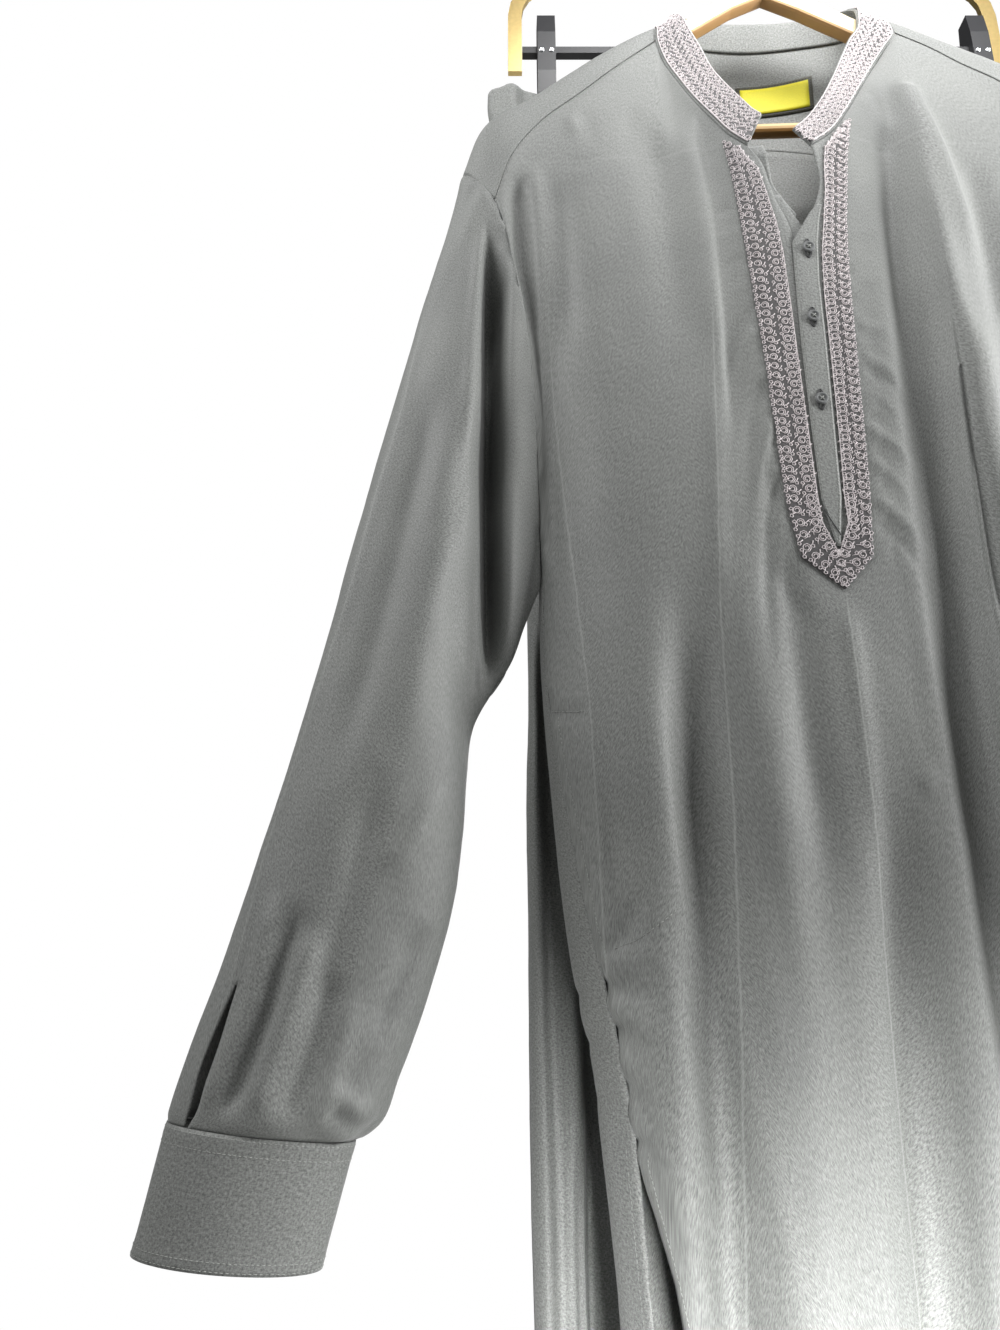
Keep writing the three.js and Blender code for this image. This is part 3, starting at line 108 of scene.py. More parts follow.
# ---- lines of the kameez ----
FRONT_TOP_LEFT = [
    (-201, -24, -306), (-189, -24, -267), (-167, -20, -232), (-140, -18, -206), (-114, -16, -180),
    (-81, -12, -149), (-78, -15, -169), (-69, -24, -202), (-60, -32, -229), (-50, -38, -251),
    (-42, -42, -267), (-30, -45, -281),
]
FRONT_TOP_RIGHT = [
    (13, -45, -280), (30, -41, -264), (43, -36, -243), (60, -27, -211), (77, -18, -179),
    (88, -15, -160), (98, -12, -141), (122, -14, -158), (140, -17, -176), (165, -20, -197),
    (193, -23, -232), (209, -24, -272),
]
RIDGE_LEFT = [
    (-224, -3, -266), (-206, 0, -218), (-176, 0, -196), (-149, 0, -174), (-122, 0, -153), (-80, 0, -128),
]
RIDGE_RIGHT = [
    (93, 0, -121), (125, 0, -136), (150, 0, -149), (178, 0, -164), (208, 0, -186), (232, -3, -235),
]
NECK_BACK = [(-62, 28, -108), (-33, 38, -103), (4, 42, -101), (42, 38, -101), (74, 28, -105)]
COLLAR_TOP = [
    (-18, -43, -251), (-21.5, -39.5, -244), (-27, -36, -232), (-35, -31, -214), (-43, -24, -190),
    (-49, -17, -160), (-54, -13, -141), (-58, -10, -125), (-62, 1, -107),
    (-52, 24, -84), (-30, 34, -78), (5, 37, -76), (40, 34, -77), (66, 24, -81),
    (76, 1, -101), (73, -10, -120), (70, -12.5, -137), (62, -15, -151), (53, -19, -171),
    (40, -27, -202), (26, -34, -231), (13, -39, -252), (3, -43, -264),
]
UPPER_ROWS = [0, 0.05, 0.10, 0.155, 0.205, 0.40, 0.64, 0.875, 1]
UNDERARM_ROW = len(UPPER_ROWS) - 1
UNDERARM = {"left": (-172, -8, ARMPIT_Z), "right": (176, -8, ARMPIT_Z)}
ARMHOLE_BOW = 11
ARMHOLE_DEPTH = 9
LOWER_Z = [-625, POCKET_TOP_Z, -720, -766, POCKET_END_Z, -856, SLIT_TOP_Z,
           -960, -1030, -1110, -1180, HEM_Z]
ALL_ROWS = len(UPPER_ROWS) + len(LOWER_Z)

SIDE = {
    "left": rows("z seam back seamY edge edgeY", [
        (-585, -172, -172, -8, -173, 1),
        (-625, -171, -171, -12, -172.5, 0),
        (-673, -168, -168, -17, -170, -1),
        (-720, -161, -161, -20, -166, -2),
        (-766, -153, -153, -21, -162, -2),
        (-811, -144, -144, -22, -157, -1),
        (-856, -134.5, -134.5, -22, -149, 0),
        (-901, -128, -128, -22, -144, 0),
        (-960, -112, -124, -23, -138, 0),
        (-1030, -103, -119, -24, -133, 0),
        (-1110, -98, -115, -24, -129, 1),
        (-1180, -95, -113, -24, -126, 2),
        (-1241, -93, -112, -24, -124, 3),
    ]),
    "right": rows("z seam back seamY edge edgeY", [
        (-585, 176, 176, -8, 177, 1),
        (-625, 177, 177, -10, 179, 0),
        (-673, 178, 178, -12, 181, -1),
        (-720, 179, 179, -13, 183, -1),
        (-766, 180, 180, -14, 185, 0),
        (-811, 180, 180, -15, 186, 0),
        (-856, 179, 179, -15, 187, 0),
        (-901, 178, 178, -15, 188, 0),
        (-960, 170, 179, -17, 189, 0),
        (-1030, 166, 180, -18, 190, 1),
        (-1110, 163, 181, -19, 191, 2),
        (-1180, 162, 181, -20, 191, 3),
        (-1241, 161, 181, -20, 191, 4),
    ]),
}
FRONT_SHARE = {
    "left": [1, 0.955, 0.88, 0.78, 0.66, 0.52, 0.43, 0.34, 0.25, 0.175, 0.11, 0.03],
    "right": [0.03, 0.11, 0.175, 0.25, 0.32, 0.385, 0.45, 0.55, 0.68, 0.80, 0.92, 1],
}
# Soft vertical folds: x of the trough at its top and bottom, depth and half width.
FRONT_FOLDS = rows("top bottom xTop xBottom depth width", [
    (-230, -560, -172, -160, 6, 16),
    (-560, HEM_Z, -80, -88, 9, 24),
    (-700, HEM_Z, 12, 4, 10, 22),
    (-185, -930, 68, 62, 13, 17),
    (-420, HEM_Z, 138, 132, 9, 24),
])
RIGHT_FOLD = {"top": -170, "bottom": -980, "xTop": 89, "xBottom": 84, "height": 15, "width": 30}
RIGHT_FOLD_FADE = 250
FOLD_FADE_SHARE = 1 / 6
BACK_FOLDS = rows("top bottom xTop xBottom depth width", [
    (-420, HEM_Z, -70, -64, 9, 34),
    (-480, HEM_Z, 40, 34, 9, 34),
    (-560, HEM_Z, 120, 128, 7, 30),
])
OPENING = rows("z left right", [
    (-281, -30, 13), (-297, -21, 15), (-313, -18, 16), (-330, -14, 11),
    (-346, -8, 3.5), (-409, -6, 2.5), (-560, -5, 2.5), (-625, -5, 5),
])


def fold_shape(fold, x, z):
    """How deep in a vertical fold a point is, from 0 to 1."""
    if z > fold["top"] or z < fold["bottom"] - 1:
        return 0.0
    along = (fold["top"] - z) / (fold["top"] - fold["bottom"])
    off = abs(x - lerp(fold["xTop"], fold["xBottom"], along)) / fold["width"]
    return 0.0 if off >= 1 else min(1.0, along / FOLD_FADE_SHARE) * (0.5 + 0.5 * math.cos(math.pi * off))


def front_plane(z):
    """The flat front's depth, which leans a little."""
    return FRONT_Y + FRONT_LEAN * (z + 281)


def front_y(x, z, side, half_width):
    """Depth of the front at a place, with its large folds and its turn back to the side seam."""
    y = lerp(front_plane(z), read(side, "seamY", z), clamp01(abs(x) / half_width) ** 5)
    for fold in FRONT_FOLDS:
        y += fold["depth"] * fold_shape(fold, x, z)
    fades = clamp01((z - RIGHT_FOLD["bottom"]) / RIGHT_FOLD_FADE)
    return y - RIGHT_FOLD["height"] * fades * fold_shape(RIGHT_FOLD, x, z)


def armhole_point(top, under, share, way):
    """A point on the armhole's edge. way is -1 in front and +1 behind."""
    p = mix(top, under, share)
    swell = math.sin(math.pi * share ** 0.8)
    inward = 1 if top[0] < under[0] else -1
    p[0] += inward * ARMHOLE_BOW * swell * (1 if way < 0 else 0.7)
    p[1] += way * ARMHOLE_DEPTH * swell
    return p


def front_point(half, j, i):
    """A coarse point of the front: column j of one half, row i from the yoke to the hem."""
    tops = FRONT_TOP_LEFT if half == "left" else FRONT_TOP_RIGHT
    outer, inner = (0, len(tops) - 1) if half == "left" else (len(tops) - 1, 0)
    side, shares, under, top = SIDE[half], FRONT_SHARE[half], UNDERARM[half], tops[j]
    sign = -1 if half == "left" else 1
    if i <= UNDERARM_ROW:
        t = UPPER_ROWS[i]
        if j == outer:
            return armhole_point(top, under, t, -1)
        z = lerp(top[2], ARMPIT_Z, t)
        half_width = abs(under[0])
        x = lerp(sign * shares[j] * half_width, top[0], (1 - t) ** 1.6)
        if j == inner:
            x = read(OPENING, half, z)
        free = front_y(x, z, side, lerp(half_width, 205, 1 - t))
        return [x, lerp(free, top[1], (1 - t) ** 3), z]
    z = LOWER_Z[i - UNDERARM_ROW - 1]
    half_width = abs(read(side, "seam", z))
    x = read(OPENING, half, z) if j == inner and z > -900 else sign * shares[j] * half_width
    return [x, front_y(x, z, side, half_width), z]


LEFT_COLS = len(FRONT_TOP_LEFT)
front_grid = [
    [front_point("left", j, i) for j in range(LEFT_COLS)]
    + [front_point("right", j, i) for j in range(len(FRONT_TOP_RIGHT))]
    for i in range(ALL_ROWS)
]
FRONT_LAST = len(front_grid[0]) - 1

# ---- yoke ----
YOKE_BACK_X = [-203, -190, -170, -145, -116, -84, -58, -30, 4, 40, 68, 95, 122, 146, 170, 196, 211]


def yoke_seam(x):
    """A point on the seam of the yoke across the back."""
    away = abs(x - 4) / 207
    return [x, BACK_Y + 3 - 22 * away * away, -198 - 95 * away ** 1.6 + 0.078 * (x - 4)]


def near_ridge(ridge, seam, way):
    """A point just in front of (way -1) or behind (way 1) the ridge of the shoulder."""
    return [lerp(ridge[0], seam[0], 0.12), way * 8.5, ridge[2] - 5]


def yoke_column(j):
    """Points from the seam in front, over the ridge or from the neck, to the seam behind."""
    back = yoke_seam(YOKE_BACK_X[j])
    if 5 < j < 11:
        neck = list(NECK_BACK[j - 6])
        below = [neck[0], neck[1] + 1.5, neck[2] - 14]
        middle = mix(below, back, 0.5)
        middle[1] += 1
        return [neck, neck, neck, below, middle, back]
    ridge = RIDGE_LEFT[j] if j < 6 else RIDGE_RIGHT[j - 11]
    front = FRONT_TOP_LEFT[j] if j < 6 else FRONT_TOP_RIGHT[j - 5]
    behind = near_ridge(ridge, back, 1)
    middle = mix(behind, back, 0.5)
    middle[1] += 6
    return [list(front), near_ridge(ridge, front, -1), list(ridge), behind, middle, back]


YOKE_ROWS = 6
yoke_columns = [yoke_column(j) for j in range(len(YOKE_BACK_X))]
yoke_grid = [[column[i] for column in yoke_columns] for i in range(YOKE_ROWS)]

# ---- back panel ----
BACK_SHARE = [1, 1.02, 0.95, 0.84, 0.69, 0.52, 0.34, 0.17, 0,
              -0.17, -0.34, -0.52, -0.69, -0.84, -0.95, -1.02, -1]
BACK_LAST = len(BACK_SHARE) - 1


def back_low_point(j, z):
    """A coarse point of the back at a height below the armpits."""
    share = -BACK_SHARE[j]
    side = SIDE["left" if j < 8 else "right"]
    if j in (0, BACK_LAST):
        return [read(side, "back", z), read(side, "seamY", z), z]
    if j in (1, BACK_LAST - 1):
        return [read(side, "edge", z), read(side, "edgeY", z), z]
    x = share * abs(read(side, "edge", z))
    y = lerp(6, BACK_Y, (1 - abs(share) ** 4) ** 0.5) - 6 * clamp01((-z - 600) / 640)
    for fold in BACK_FOLDS:
        y -= fold["depth"] * fold_shape(fold, x, z)
    return [x, y, z]


def back_point(j, i):
    if i > UNDERARM_ROW:
        return back_low_point(j, LOWER_Z[i - UNDERARM_ROW - 1])
    t = UPPER_ROWS[i]
    top = yoke_grid[YOKE_ROWS - 1][j]
    if j in (0, BACK_LAST):
        return armhole_point(top, UNDERARM["left" if j == 0 else "right"], t, 1)
    low = back_low_point(j, ARMPIT_Z)
    y = lerp(low[1], top[1], (1 - t) ** 1.5) + 4 * math.sin(math.pi * t) * (1 - abs(BACK_SHARE[j]))
    return [lerp(low[0], top[0], (1 - t) ** 1.4), y, lerp(top[2], ARMPIT_Z, t)]


back_grid = [[back_point(j, i) for j in range(BACK_LAST + 1)] for i in range(ALL_ROWS)]

# ---- sleeves and cuffs ----
# A row without valley and dip has no dip in its front.
SLEEVE_COLUMNS = "outX outZ inX inZ mid front back valley dip"
SLEEVE = {
    "left": rows(SLEEVE_COLUMNS, [
        (-224, -266, -172, -585, -3, 22, 24, 0.2, 0),
        (-233, -310, -181, -610, -3, 26, 27, 0.5, 8),
        (-246, -366, -190, -636, -4, 32, 28, 0.68, 20),
        (-262, -440, -202, -655, -5, 36, 30, 0.84, 18),
        (-277, -507, -212, -672, -7, 37, 30, 0.93, 10),
        (-291, -572, -216, -705, -9, 37, 30),
        (-306, -645, -218, -742, -11, 36, 30),
        (-321, -712, -222, -776, -13, 34, 30),
        (-337, -775, -229, -806, -15, 33, 29),
        (-349, -818, -238, -836, -17, 32, 28),
        (-359, -852, -249, -866, -19, 31, 28),
        (-366, -880, -259, -889, -21, 30, 28),
        (-367, -886, -270, -896, -22, 27, 27),
    ]),
    "right": rows(SLEEVE_COLUMNS, [
        (232, -235, 176, -585, -3, 22, 24, 0.2, 0),
        (241, -290, 184, -612, -3, 26, 27, 0.45, 6),
        (250, -350, 192, -640, -4, 31, 28, 0.6, 14),
        (258, -425, 198, -664, -5, 34, 30, 0.75, 12),
        (265, -495, 202, -690, -6, 35, 30, 0.85, 6),
        (270, -560, 204, -718, -7, 35, 30),
        (274, -625, 205, -748, -8, 34, 30),
        (278, -690, 205, -778, -9, 33, 30),
        (282, -748, 205, -805, -10, 32, 29),
        (285, -792, 204, -826, -10, 31, 28),
        (287, -828, 203, -845, -10, 30, 28),
        (288, -854, 202, -864, -10, 29, 28),
        (286, -861, 206, -871, -10, 27, 27),
    ]),
}
CUFF = {
    "left": rows(SLEEVE_COLUMNS, [
        (-372, -916, -277, -924, -24, 27, 27),
        (-377, -945, -284, -952, -26, 27, 27),
    ]),
    "right": rows(SLEEVE_COLUMNS, [
        (287, -891, 206, -900, -10, 27, 27),
        (288, -921, 207, -929, -10, 27, 27),
    ]),
}
SLEEVE_SLIT = {"row": 9, "column": 2, "half": 1.1}
VALLEY_WIDTH = 0.2                       # of the dip in a sleeve's front, as a share of its width
BLEND_OUT = [1, 0.62, 0.34, 0.14, 0.05]  # how much of the armhole's form each ring keeps
FRONT_STEPS = UNDERARM_ROW + 2
BACK_STEPS = UNDERARM_ROW + 3
PANELS = {"yoke": yoke_grid, "front": front_grid, "back": back_grid}


def armhole_loop(front_col, back_col, yoke_col):
    """From the ridge down the front to the underarm and up the back."""
    return (
        [("yoke", 2, yoke_col), ("yoke", 1, yoke_col)]
        + [("front", i, front_col) for i in range(UNDERARM_ROW + 1)]
        + [("back", UNDERARM_ROW - 1 - i, back_col) for i in range(UNDERARM_ROW)]
        + [("yoke", 4, yoke_col), ("yoke", 3, yoke_col)]
    )


def section_point(section, k):
    """Point k of a sleeve's or cuff's own section, in step with the armhole's loop."""
    if k <= FRONT_STEPS:
        around = 0.5 * k / FRONT_STEPS
    else:
        around = 0.5 + 0.5 * (k - FRONT_STEPS) / BACK_STEPS
    share = (1 - math.cos(2 * math.pi * around)) / 2
    swing = math.sin(2 * math.pi * around)
    y = section["mid"] - (section["front"] if swing > 0 else section["back"]) * swing
    dip = section.get("dip", 0)
    off = abs(share - section.get("valley", 0)) / VALLEY_WIDTH
    if swing > 0 and dip and off < 1:
        y += dip * (0.5 + 0.5 * math.cos(math.pi * off))
    return [lerp(section["outX"], section["inX"], share), y, lerp(section["outZ"], section["inZ"], share)]


def sleeve_grid(sections, loop):
    """Rings from the armhole's loop down, which let go of its form ring by ring."""
    first = [list(PANELS[panel][i][j]) for panel, i, j in loop]
    grid = [first]
    for n, section in enumerate(sections[1:], 1):
        stay = BLEND_OUT[n] if n < len(BLEND_OUT) else 0
        ring = []
        for k, p in enumerate(first):
            ideal = section_point(section, k)
            plain = section_point(sections[0], k)
            ring.append([ideal[c] + (p[c] - plain[c]) * stay for c in range(3)])
        grid.append(ring)
    for n in range(SLEEVE_SLIT["row"], len(grid)):
        narrow_slit(grid[n], SLEEVE_SLIT["half"] * (0.5 if n == SLEEVE_SLIT["row"] else 1))
    return grid


def narrow_slit(ring, half):
    """Puts the two edges of the sleeve's slit at the given distance from its middle."""
    c = SLEEVE_SLIT["column"]
    a, b = ring[c], ring[c + 1]
    middle = mix(a, b, 0.5)
    share = 2 * half / math.dist(a, b)
    ring[c], ring[c + 1] = mix(middle, a, share), mix(middle, b, share)


def cuff_grid(sections, sleeve):
    """The sleeve's last ring, and the rings of the cuff's own sections."""
    around = range(len(sleeve[-1]))
    return [sleeve[-1]] + [[section_point(section, k) for k in around] for section in sections]


LOOP = {
    "left": armhole_loop(0, 0, 0),
    "right": armhole_loop(FRONT_LAST, BACK_LAST, len(YOKE_BACK_X) - 1),
}
sleeve = {side: sleeve_grid(SLEEVE[side], LOOP[side]) for side in LOOP}
cuff = {side: cuff_grid(CUFF[side], sleeve[side]) for side in LOOP}

# ---- collar ----
NECK_SEAM = (
    [("front", 0, LEFT_COLS - 1 - k) for k in range(7)]
    + [("yoke", 1, 5), ("yoke", 2, 5)]
    + [("yoke", 2, 6 + k) for k in range(5)]
    + [("yoke", 2, 11), ("yoke", 1, 11)]
    + [("front", 0, LEFT_COLS + 6 - k) for k in range(7)]
)
collar_low = [list(PANELS[panel][i][j]) for panel, i, j in NECK_SEAM]
collar_grid = [[mix(p, COLLAR_TOP[k], t) for k, p in enumerate(collar_low)] for t in (0, 0.5, 1)]

# ---- shalwar ----
LEG = rows("share top fold waist", [
    (0, 0, -15, -15), (0.12, 0.12, -12, -20), (0.25, 0.25, -21, -13), (0.38, 0.37, -9, -20),
    (0.5, 0.48, -21, -12), (0.63, 0.58, -12, -17), (0.7, 0.64, 14, -12), (0.82, 0.7, 12, -6),
    (0.855, 0.752, -11, -2.2), (0.9, 0.821, -18, -2.2), (0.965, 0.93, -14, -12), (1, 1, 1, 0),
    (0.96, 0.93, 17, 11), (0.9, 0.821, 22, 2.2), (0.855, 0.752, 25, 2.2), (0.7, 0.62, 28, 13),
    (0.5, 0.46, 20, 20), (0.3, 0.3, 27, 14), (0.12, 0.12, 21, 19), (0, 0, 24, 17),
])
LEG_EDGES = rows("z outer inner", [
    (-97, 238, 0), (-112, 238, 0), (-150, 232, 0), (-200, 222, 0), (-280, 212, 0), (-360, 209, 0),
    (-450, 208, 0), (CROTCH_Z, 208, 0), (-610, 208, 4), (-700, 210, 7), (-790, 209, 10),
    (-880, 208, 14), (-970, 207, 20), (-1050, 205, 26), (-1115, 201, 32),
])
WAIST_ROWS = 3
CROTCH_ROW = 5


def leg_point(side, row, k):
    """Point k of a leg's ring, drawn together towards the waist."""
    edges, c = LEG_EDGES[row], LEG[k]
    gathered = (1 if row < 2 else clamp01(1 - (row - 1) / 4)) ** 2
    x = lerp(edges["inner"], edges["outer"], lerp(c["share"], c["top"], gathered))
    y = lerp(c["fold"], c["waist"], gathered)
    narrow = 1 - 0.05 * (row - 10) if row > 10 else 1
    return [SHALWAR_X + side * x, SHALWAR_Y + y * narrow, edges["z"]]


leg = {
    name: [[leg_point(side, row, k) for k in range(len(LEG))]
           for row in range(WAIST_ROWS - 1, len(LEG_EDGES))]
    for name, side in (("left", -1), ("right", 1))
}
waist_grid = [
    [leg_point(-1, row, k) for k in range(len(LEG))]
    + [leg_point(1, row, len(LEG) - 2 - k) for k in range(len(LEG) - 2)]
    for row in range(WAIST_ROWS)
]


# ---- fine cloth ----
def steps_for(points, spacing, axis, stretches=()):
    """How many fine steps each interval of a grid gets along an axis. A stretch gives its
    first interval, the one after its last, and how its spacing compares with the rest."""
    lengths = np.linalg.norm(np.diff(points, axis=axis), axis=2)
    counts = []
    for k, length in enumerate(lengths.max(axis=1 - axis)):
        factor = next((f for first, end, f in stretches if first <= k < end), 1.0)
        counts.append(max(1, int(math.ceil(length / (spacing * factor)))))
    return counts


def hermite(t):
    """Weights of a cubic's start, slope at the start, end and slope at the end."""
    return 2 * t ** 3 - 3 * t ** 2 + 1, t ** 3 - 2 * t ** 2 + t, -2 * t ** 3 + 3 * t ** 2, t ** 3 - t ** 2


def smooth_line(p, counts, closed, split=None):
    """A smooth curve through the first axis of p, with counts[k] fine steps after point k.
    split gives the points where it turns sharply, and how sharply for each of its lines."""
    if closed:
        p = np.concatenate([p[-1:], p, p[:2]])
    gaps = np.maximum(np.linalg.norm(np.diff(p, axis=0), axis=2), 1e-6)[..., None]
    slopes = np.diff(p, axis=0) / gaps
    tangent = np.empty_like(p)
    tangent[0], tangent[-1] = slopes[0], slopes[-1]
    tangent[1:-1] = (slopes[:-1] * gaps[1:] + slopes[1:] * gaps[:-1]) / (gaps[:-1] + gaps[1:])
    leaving, arriving = tangent.copy(), tangent.copy()
    if split:
        points, weight = split
        for k in points:
            leaving[k] = lerp(leaving[k], slopes[k], weight[:, None])
            arriving[k] = lerp(arriving[k], slopes[k - 1], weight[:, None])
    first = 1 if closed else 0
    fine, place = [], []
    for k, count in enumerate(counts):
        a = k + first
        for s in range(count):
            start, start_slope, end, end_slope = hermite(s / count)
            fine.append(start * p[a] + start_slope * gaps[a] * leaving[a] + end * p[a + 1]
                        + end_slope * gaps[a] * arriving[a + 1])
            place.append(k + s / count)
    if not closed:
        fine.append(p[-1])
        place.append(len(counts))
    return np.array(fine), np.array(place)


SPLIT_ROWS = 2.0  # coarse rows below the top over which a sharp turn goes soft


class Cloth:
    """A fine grid of points on a cloth's outer face, with normals, cut lengths and a mask."""

    def __init__(self, grid, spacing, outward, wrap=False, keep=None, splits=None,
                 row_stretches=(), column_stretches=()):
        coarse = np.array(grid, float)
        down = steps_for(coarse, spacing, 0, row_stretches)
        ring = np.concatenate([coarse, coarse[:, :1]], axis=1) if wrap else coarse
        along = steps_for(ring, spacing, 1, column_stretches)
        tall, self.row = smooth_line(coarse, down, False)
        split = (splits, np.clip(1 - self.row / SPLIT_ROWS, 0, 1)) if splits else None
        fine, self.col = smooth_line(tall.transpose(1, 0, 2), along, wrap, split)
        self.points = fine.transpose(1, 0, 2)
        self.wrap = wrap
        self.sign = 1.0
        self.normals = self.find_normals()
        if np.sum(self.normals.reshape(-1, 3) * outward(self.points.reshape(-1, 3))) < 0:
            self.sign = -1.0
            self.normals = -self.normals
        n_rows, n_cols = self.points.shape[:2]
        self.kept = np.ones((n_rows - 1, n_cols if wrap else n_cols - 1), bool)
        if keep:
            self.mask(keep)
        self.measure()

    def mask(self, keep):
        """Keeps the cells for which keep(coarse row, coarse column) is true."""
        for a, b in np.ndindex(self.kept.shape):
            self.kept[a, b] = keep(int(self.row[a]), int(self.col[b]))

    def find_normals(self):
        p = self.points
        down = np.gradient(p, axis=0)
        if self.wrap:
            across = (np.roll(p, -1, axis=1) - np.roll(p, 1, axis=1)) / 2
        else:
            across = np.gradient(p, axis=1)
        n = np.cross(across, down)
        return self.sign * n / np.maximum(np.linalg.norm(n, axis=2, keepdims=True), 1e-9)

    def measure(self):
        """Lengths along the cloth, which the weave and the stitches follow."""
        p = self.points
        right = np.linalg.norm(np.diff(p, axis=1), axis=2)
        self.u = np.concatenate([np.zeros((p.shape[0], 1)), np.cumsum(right, axis=1)], axis=1)
        down = np.linalg.norm(np.diff(p, axis=0), axis=2)
        self.v = np.concatenate([np.zeros((1, p.shape[1])), np.cumsum(down, axis=0)], axis=0)
        self.u -= self.u.mean(axis=1, keepdims=True)
        self.closing = np.linalg.norm(p[:, 0] - p[:, -1], axis=1)

    def shift(self, amount):
        """Moves the points along their normals by an array of amounts, and renews the normals."""
        self.points = self.points + self.normals * amount[..., None]
        self.normals = self.find_normals()

    def edge_distance(self, sides):
        """Distance along the cloth to the nearest of the named edges."""
        distance = {"left": self.u - self.u[:, :1], "right": self.u[:, -1:] - self.u,
                    "top": self.v, "bottom": self.v[-1:] - self.v}
        return np.minimum.reduce([distance[side] for side in sides])


def add_object(name, mesh, material):
    """Puts a mesh in the scene as an object of the same name."""
    obj = bpy.data.objects.new(name, mesh)
    bpy.context.scene.collection.objects.link(obj)
    mesh.materials.append(material)
    return obj


def make_mesh(name, verts, faces, loop_uvs, flat, material):
    """An object from arrays of points, of faces with equal numbers of sides, and of UVs."""
    mesh = bpy.data.meshes.new(name)
    mesh.vertices.add(len(verts))
    mesh.vertices.foreach_set("co", (np.asarray(verts) * MM).astype(np.float32).ravel())
    mesh.loops.add(faces.size)
    mesh.loops.foreach_set("vertex_index", faces.astype(np.int32).ravel())
    mesh.polygons.add(len(faces))
    mesh.polygons.foreach_set("loop_start", np.arange(0, faces.size, faces.shape[1], dtype=np.int32))
    uv = mesh.uv_layers.new(name="cloth")
    uv.data.foreach_set("uv", (loop_uvs * MM).astype(np.float32).ravel())
    mesh.update(calc_edges=True)
    mesh.polygons.foreach_set("use_smooth", ~flat)
    mesh.validate()
    return add_object(name, mesh, material)


def cell_corners(cloth):
    """For each kept cell: its four corners' numbers, and their lengths along the cloth."""
    n_cols = cloth.points.shape[1]
    i, j = np.nonzero(cloth.kept)
    last = j + 1 == n_cols  # cells that close a ring
    jj = (j + 1) % n_cols
    corners = np.stack([i * n_cols + j, i * n_cols + jj, (i + 1) * n_cols + jj, (i + 1) * n_cols + j], 1)
    u, v = cloth.u, cloth.v
    right = [np.where(last, u[r, -1] + cloth.closing[r], u[r, jj]) for r in (i, i + 1)]
    lengths = np.stack([
        np.stack([u[i, j], v[i, j]], 1), np.stack([right[0], v[i, jj]], 1),
        np.stack([right[1], v[i + 1, jj]], 1), np.stack([u[i + 1, j], v[i + 1, j]], 1),
    ], 1)
    return corners, lengths


def free_sides(cloth):
    """Which kept cells have no neighbour above, below, before and after them."""
    kept = cloth.kept
    pad = np.zeros((kept.shape[0] + 2, kept.shape[1] + 2), bool)
    pad[1:-1, 1:-1] = kept
    if cloth.wrap:
        pad[1:-1, 0], pad[1:-1, -1] = kept[:, -1], kept[:, 0]
    neighbours = (pad[:-2, 1:-1], pad[2:, 1:-1], pad[1:-1, :-2], pad[1:-1, 2:])
    return [~side[kept] for side in neighbours]


RIM_CORNERS = ((1, 0), (3, 2), (0, 3), (2, 1))  # the corners at the ends of the sides, in the same order


def shell(name, cloth, thickness, material):
    """A closed thin shell: the outer face, the inner face and the rims between them."""
    outer = cloth.points.reshape(-1, 3)
    inner = (cloth.points - cloth.normals * thickness).reshape(-1, 3)
    corners, lengths = cell_corners(cloth)
    reverse = [0, 3, 2, 1]
    faces = [corners, corners[:, reverse] + len(outer)]
    uvs = [lengths, lengths[:, reverse]]
    for free, ends in zip(free_sides(cloth), RIM_CORNERS):
        edge, edge_uv = corners[free][:, ends], lengths[free][:, ends]
        faces.append(np.concatenate([edge, edge[:, ::-1] + len(outer)], axis=1))
        uvs.append(np.concatenate([edge_uv, edge_uv[:, ::-1]], axis=1))
    faces, uvs = np.concatenate(faces), np.concatenate(uvs)
    flat = np.arange(len(faces)) >= 2 * len(corners)
    if cloth.sign < 0:
        faces, uvs = faces[:, ::-1], uvs[:, ::-1]
    verts = np.concatenate([outer, inner])
    used = np.unique(faces)
    renumber = np.zeros(len(verts), np.int64)
    renumber[used] = np.arange(len(used))
    return make_mesh(name, verts[used], renumber[faces], uvs.reshape(-1, 2), flat, material)


def outside(x, y, z):
    """An outward test that gives one direction for all points."""
    def test(points):
        return np.broadcast_to([x, y, z], points.shape)
    return test


def away_from(centre, weights):
    """An outward test for a tube that hangs: away from the upright line through a centre (x, y)."""
    def test(points):
        return (points - np.array([*centre, 0])) * np.array([*weights, 0])
    return test


def tube_outward(points):
    """An outward test for a tube that hangs at a slant: away from its middle."""
    return points - points.mean(axis=0)


FRONTWARDS = outside(0, -1, 0)


# ---- unevenness ----
def lattice(ix, iy, iz, seed):
    """A repeatable number from 0 to 1 at each whole-number place."""
    h = (ix * 374761393 + iy * 668265263 + iz * 2147483647 + seed * 974634777) & 0xFFFFFFFF
    h = ((h ^ (h >> 13)) * 1274126177) & 0xFFFFFFFF
    return ((h ^ (h >> 16)) & 0xFFFF) / 65535.0


def unevenness(points, size, seed):
    """Soft noise between -1 and 1 with lumps of about the given size."""
    q = points / np.asarray(size, float)
    base = np.floor(q).astype(np.int64)
    f = smoothstep(q - base)
    total = 0.0
    for corner in itertools.product((0, 1), repeat=3):
        weight = np.prod(np.where(corner, f, 1 - f), axis=-1)
        total = total + weight * lattice(*np.moveaxis(base + corner, -1, 0), seed)
    return 2 * total - 1


# ---- creases ----
# A crease is a line of (x, z) points with a height, which is negative in a trough, a half
# width, and the shares of its length over which its two ends fade. It is soft on both sides,
# or drops off sharply on the line's left-hand side, over STEP of its half width.
STEP = 0.2


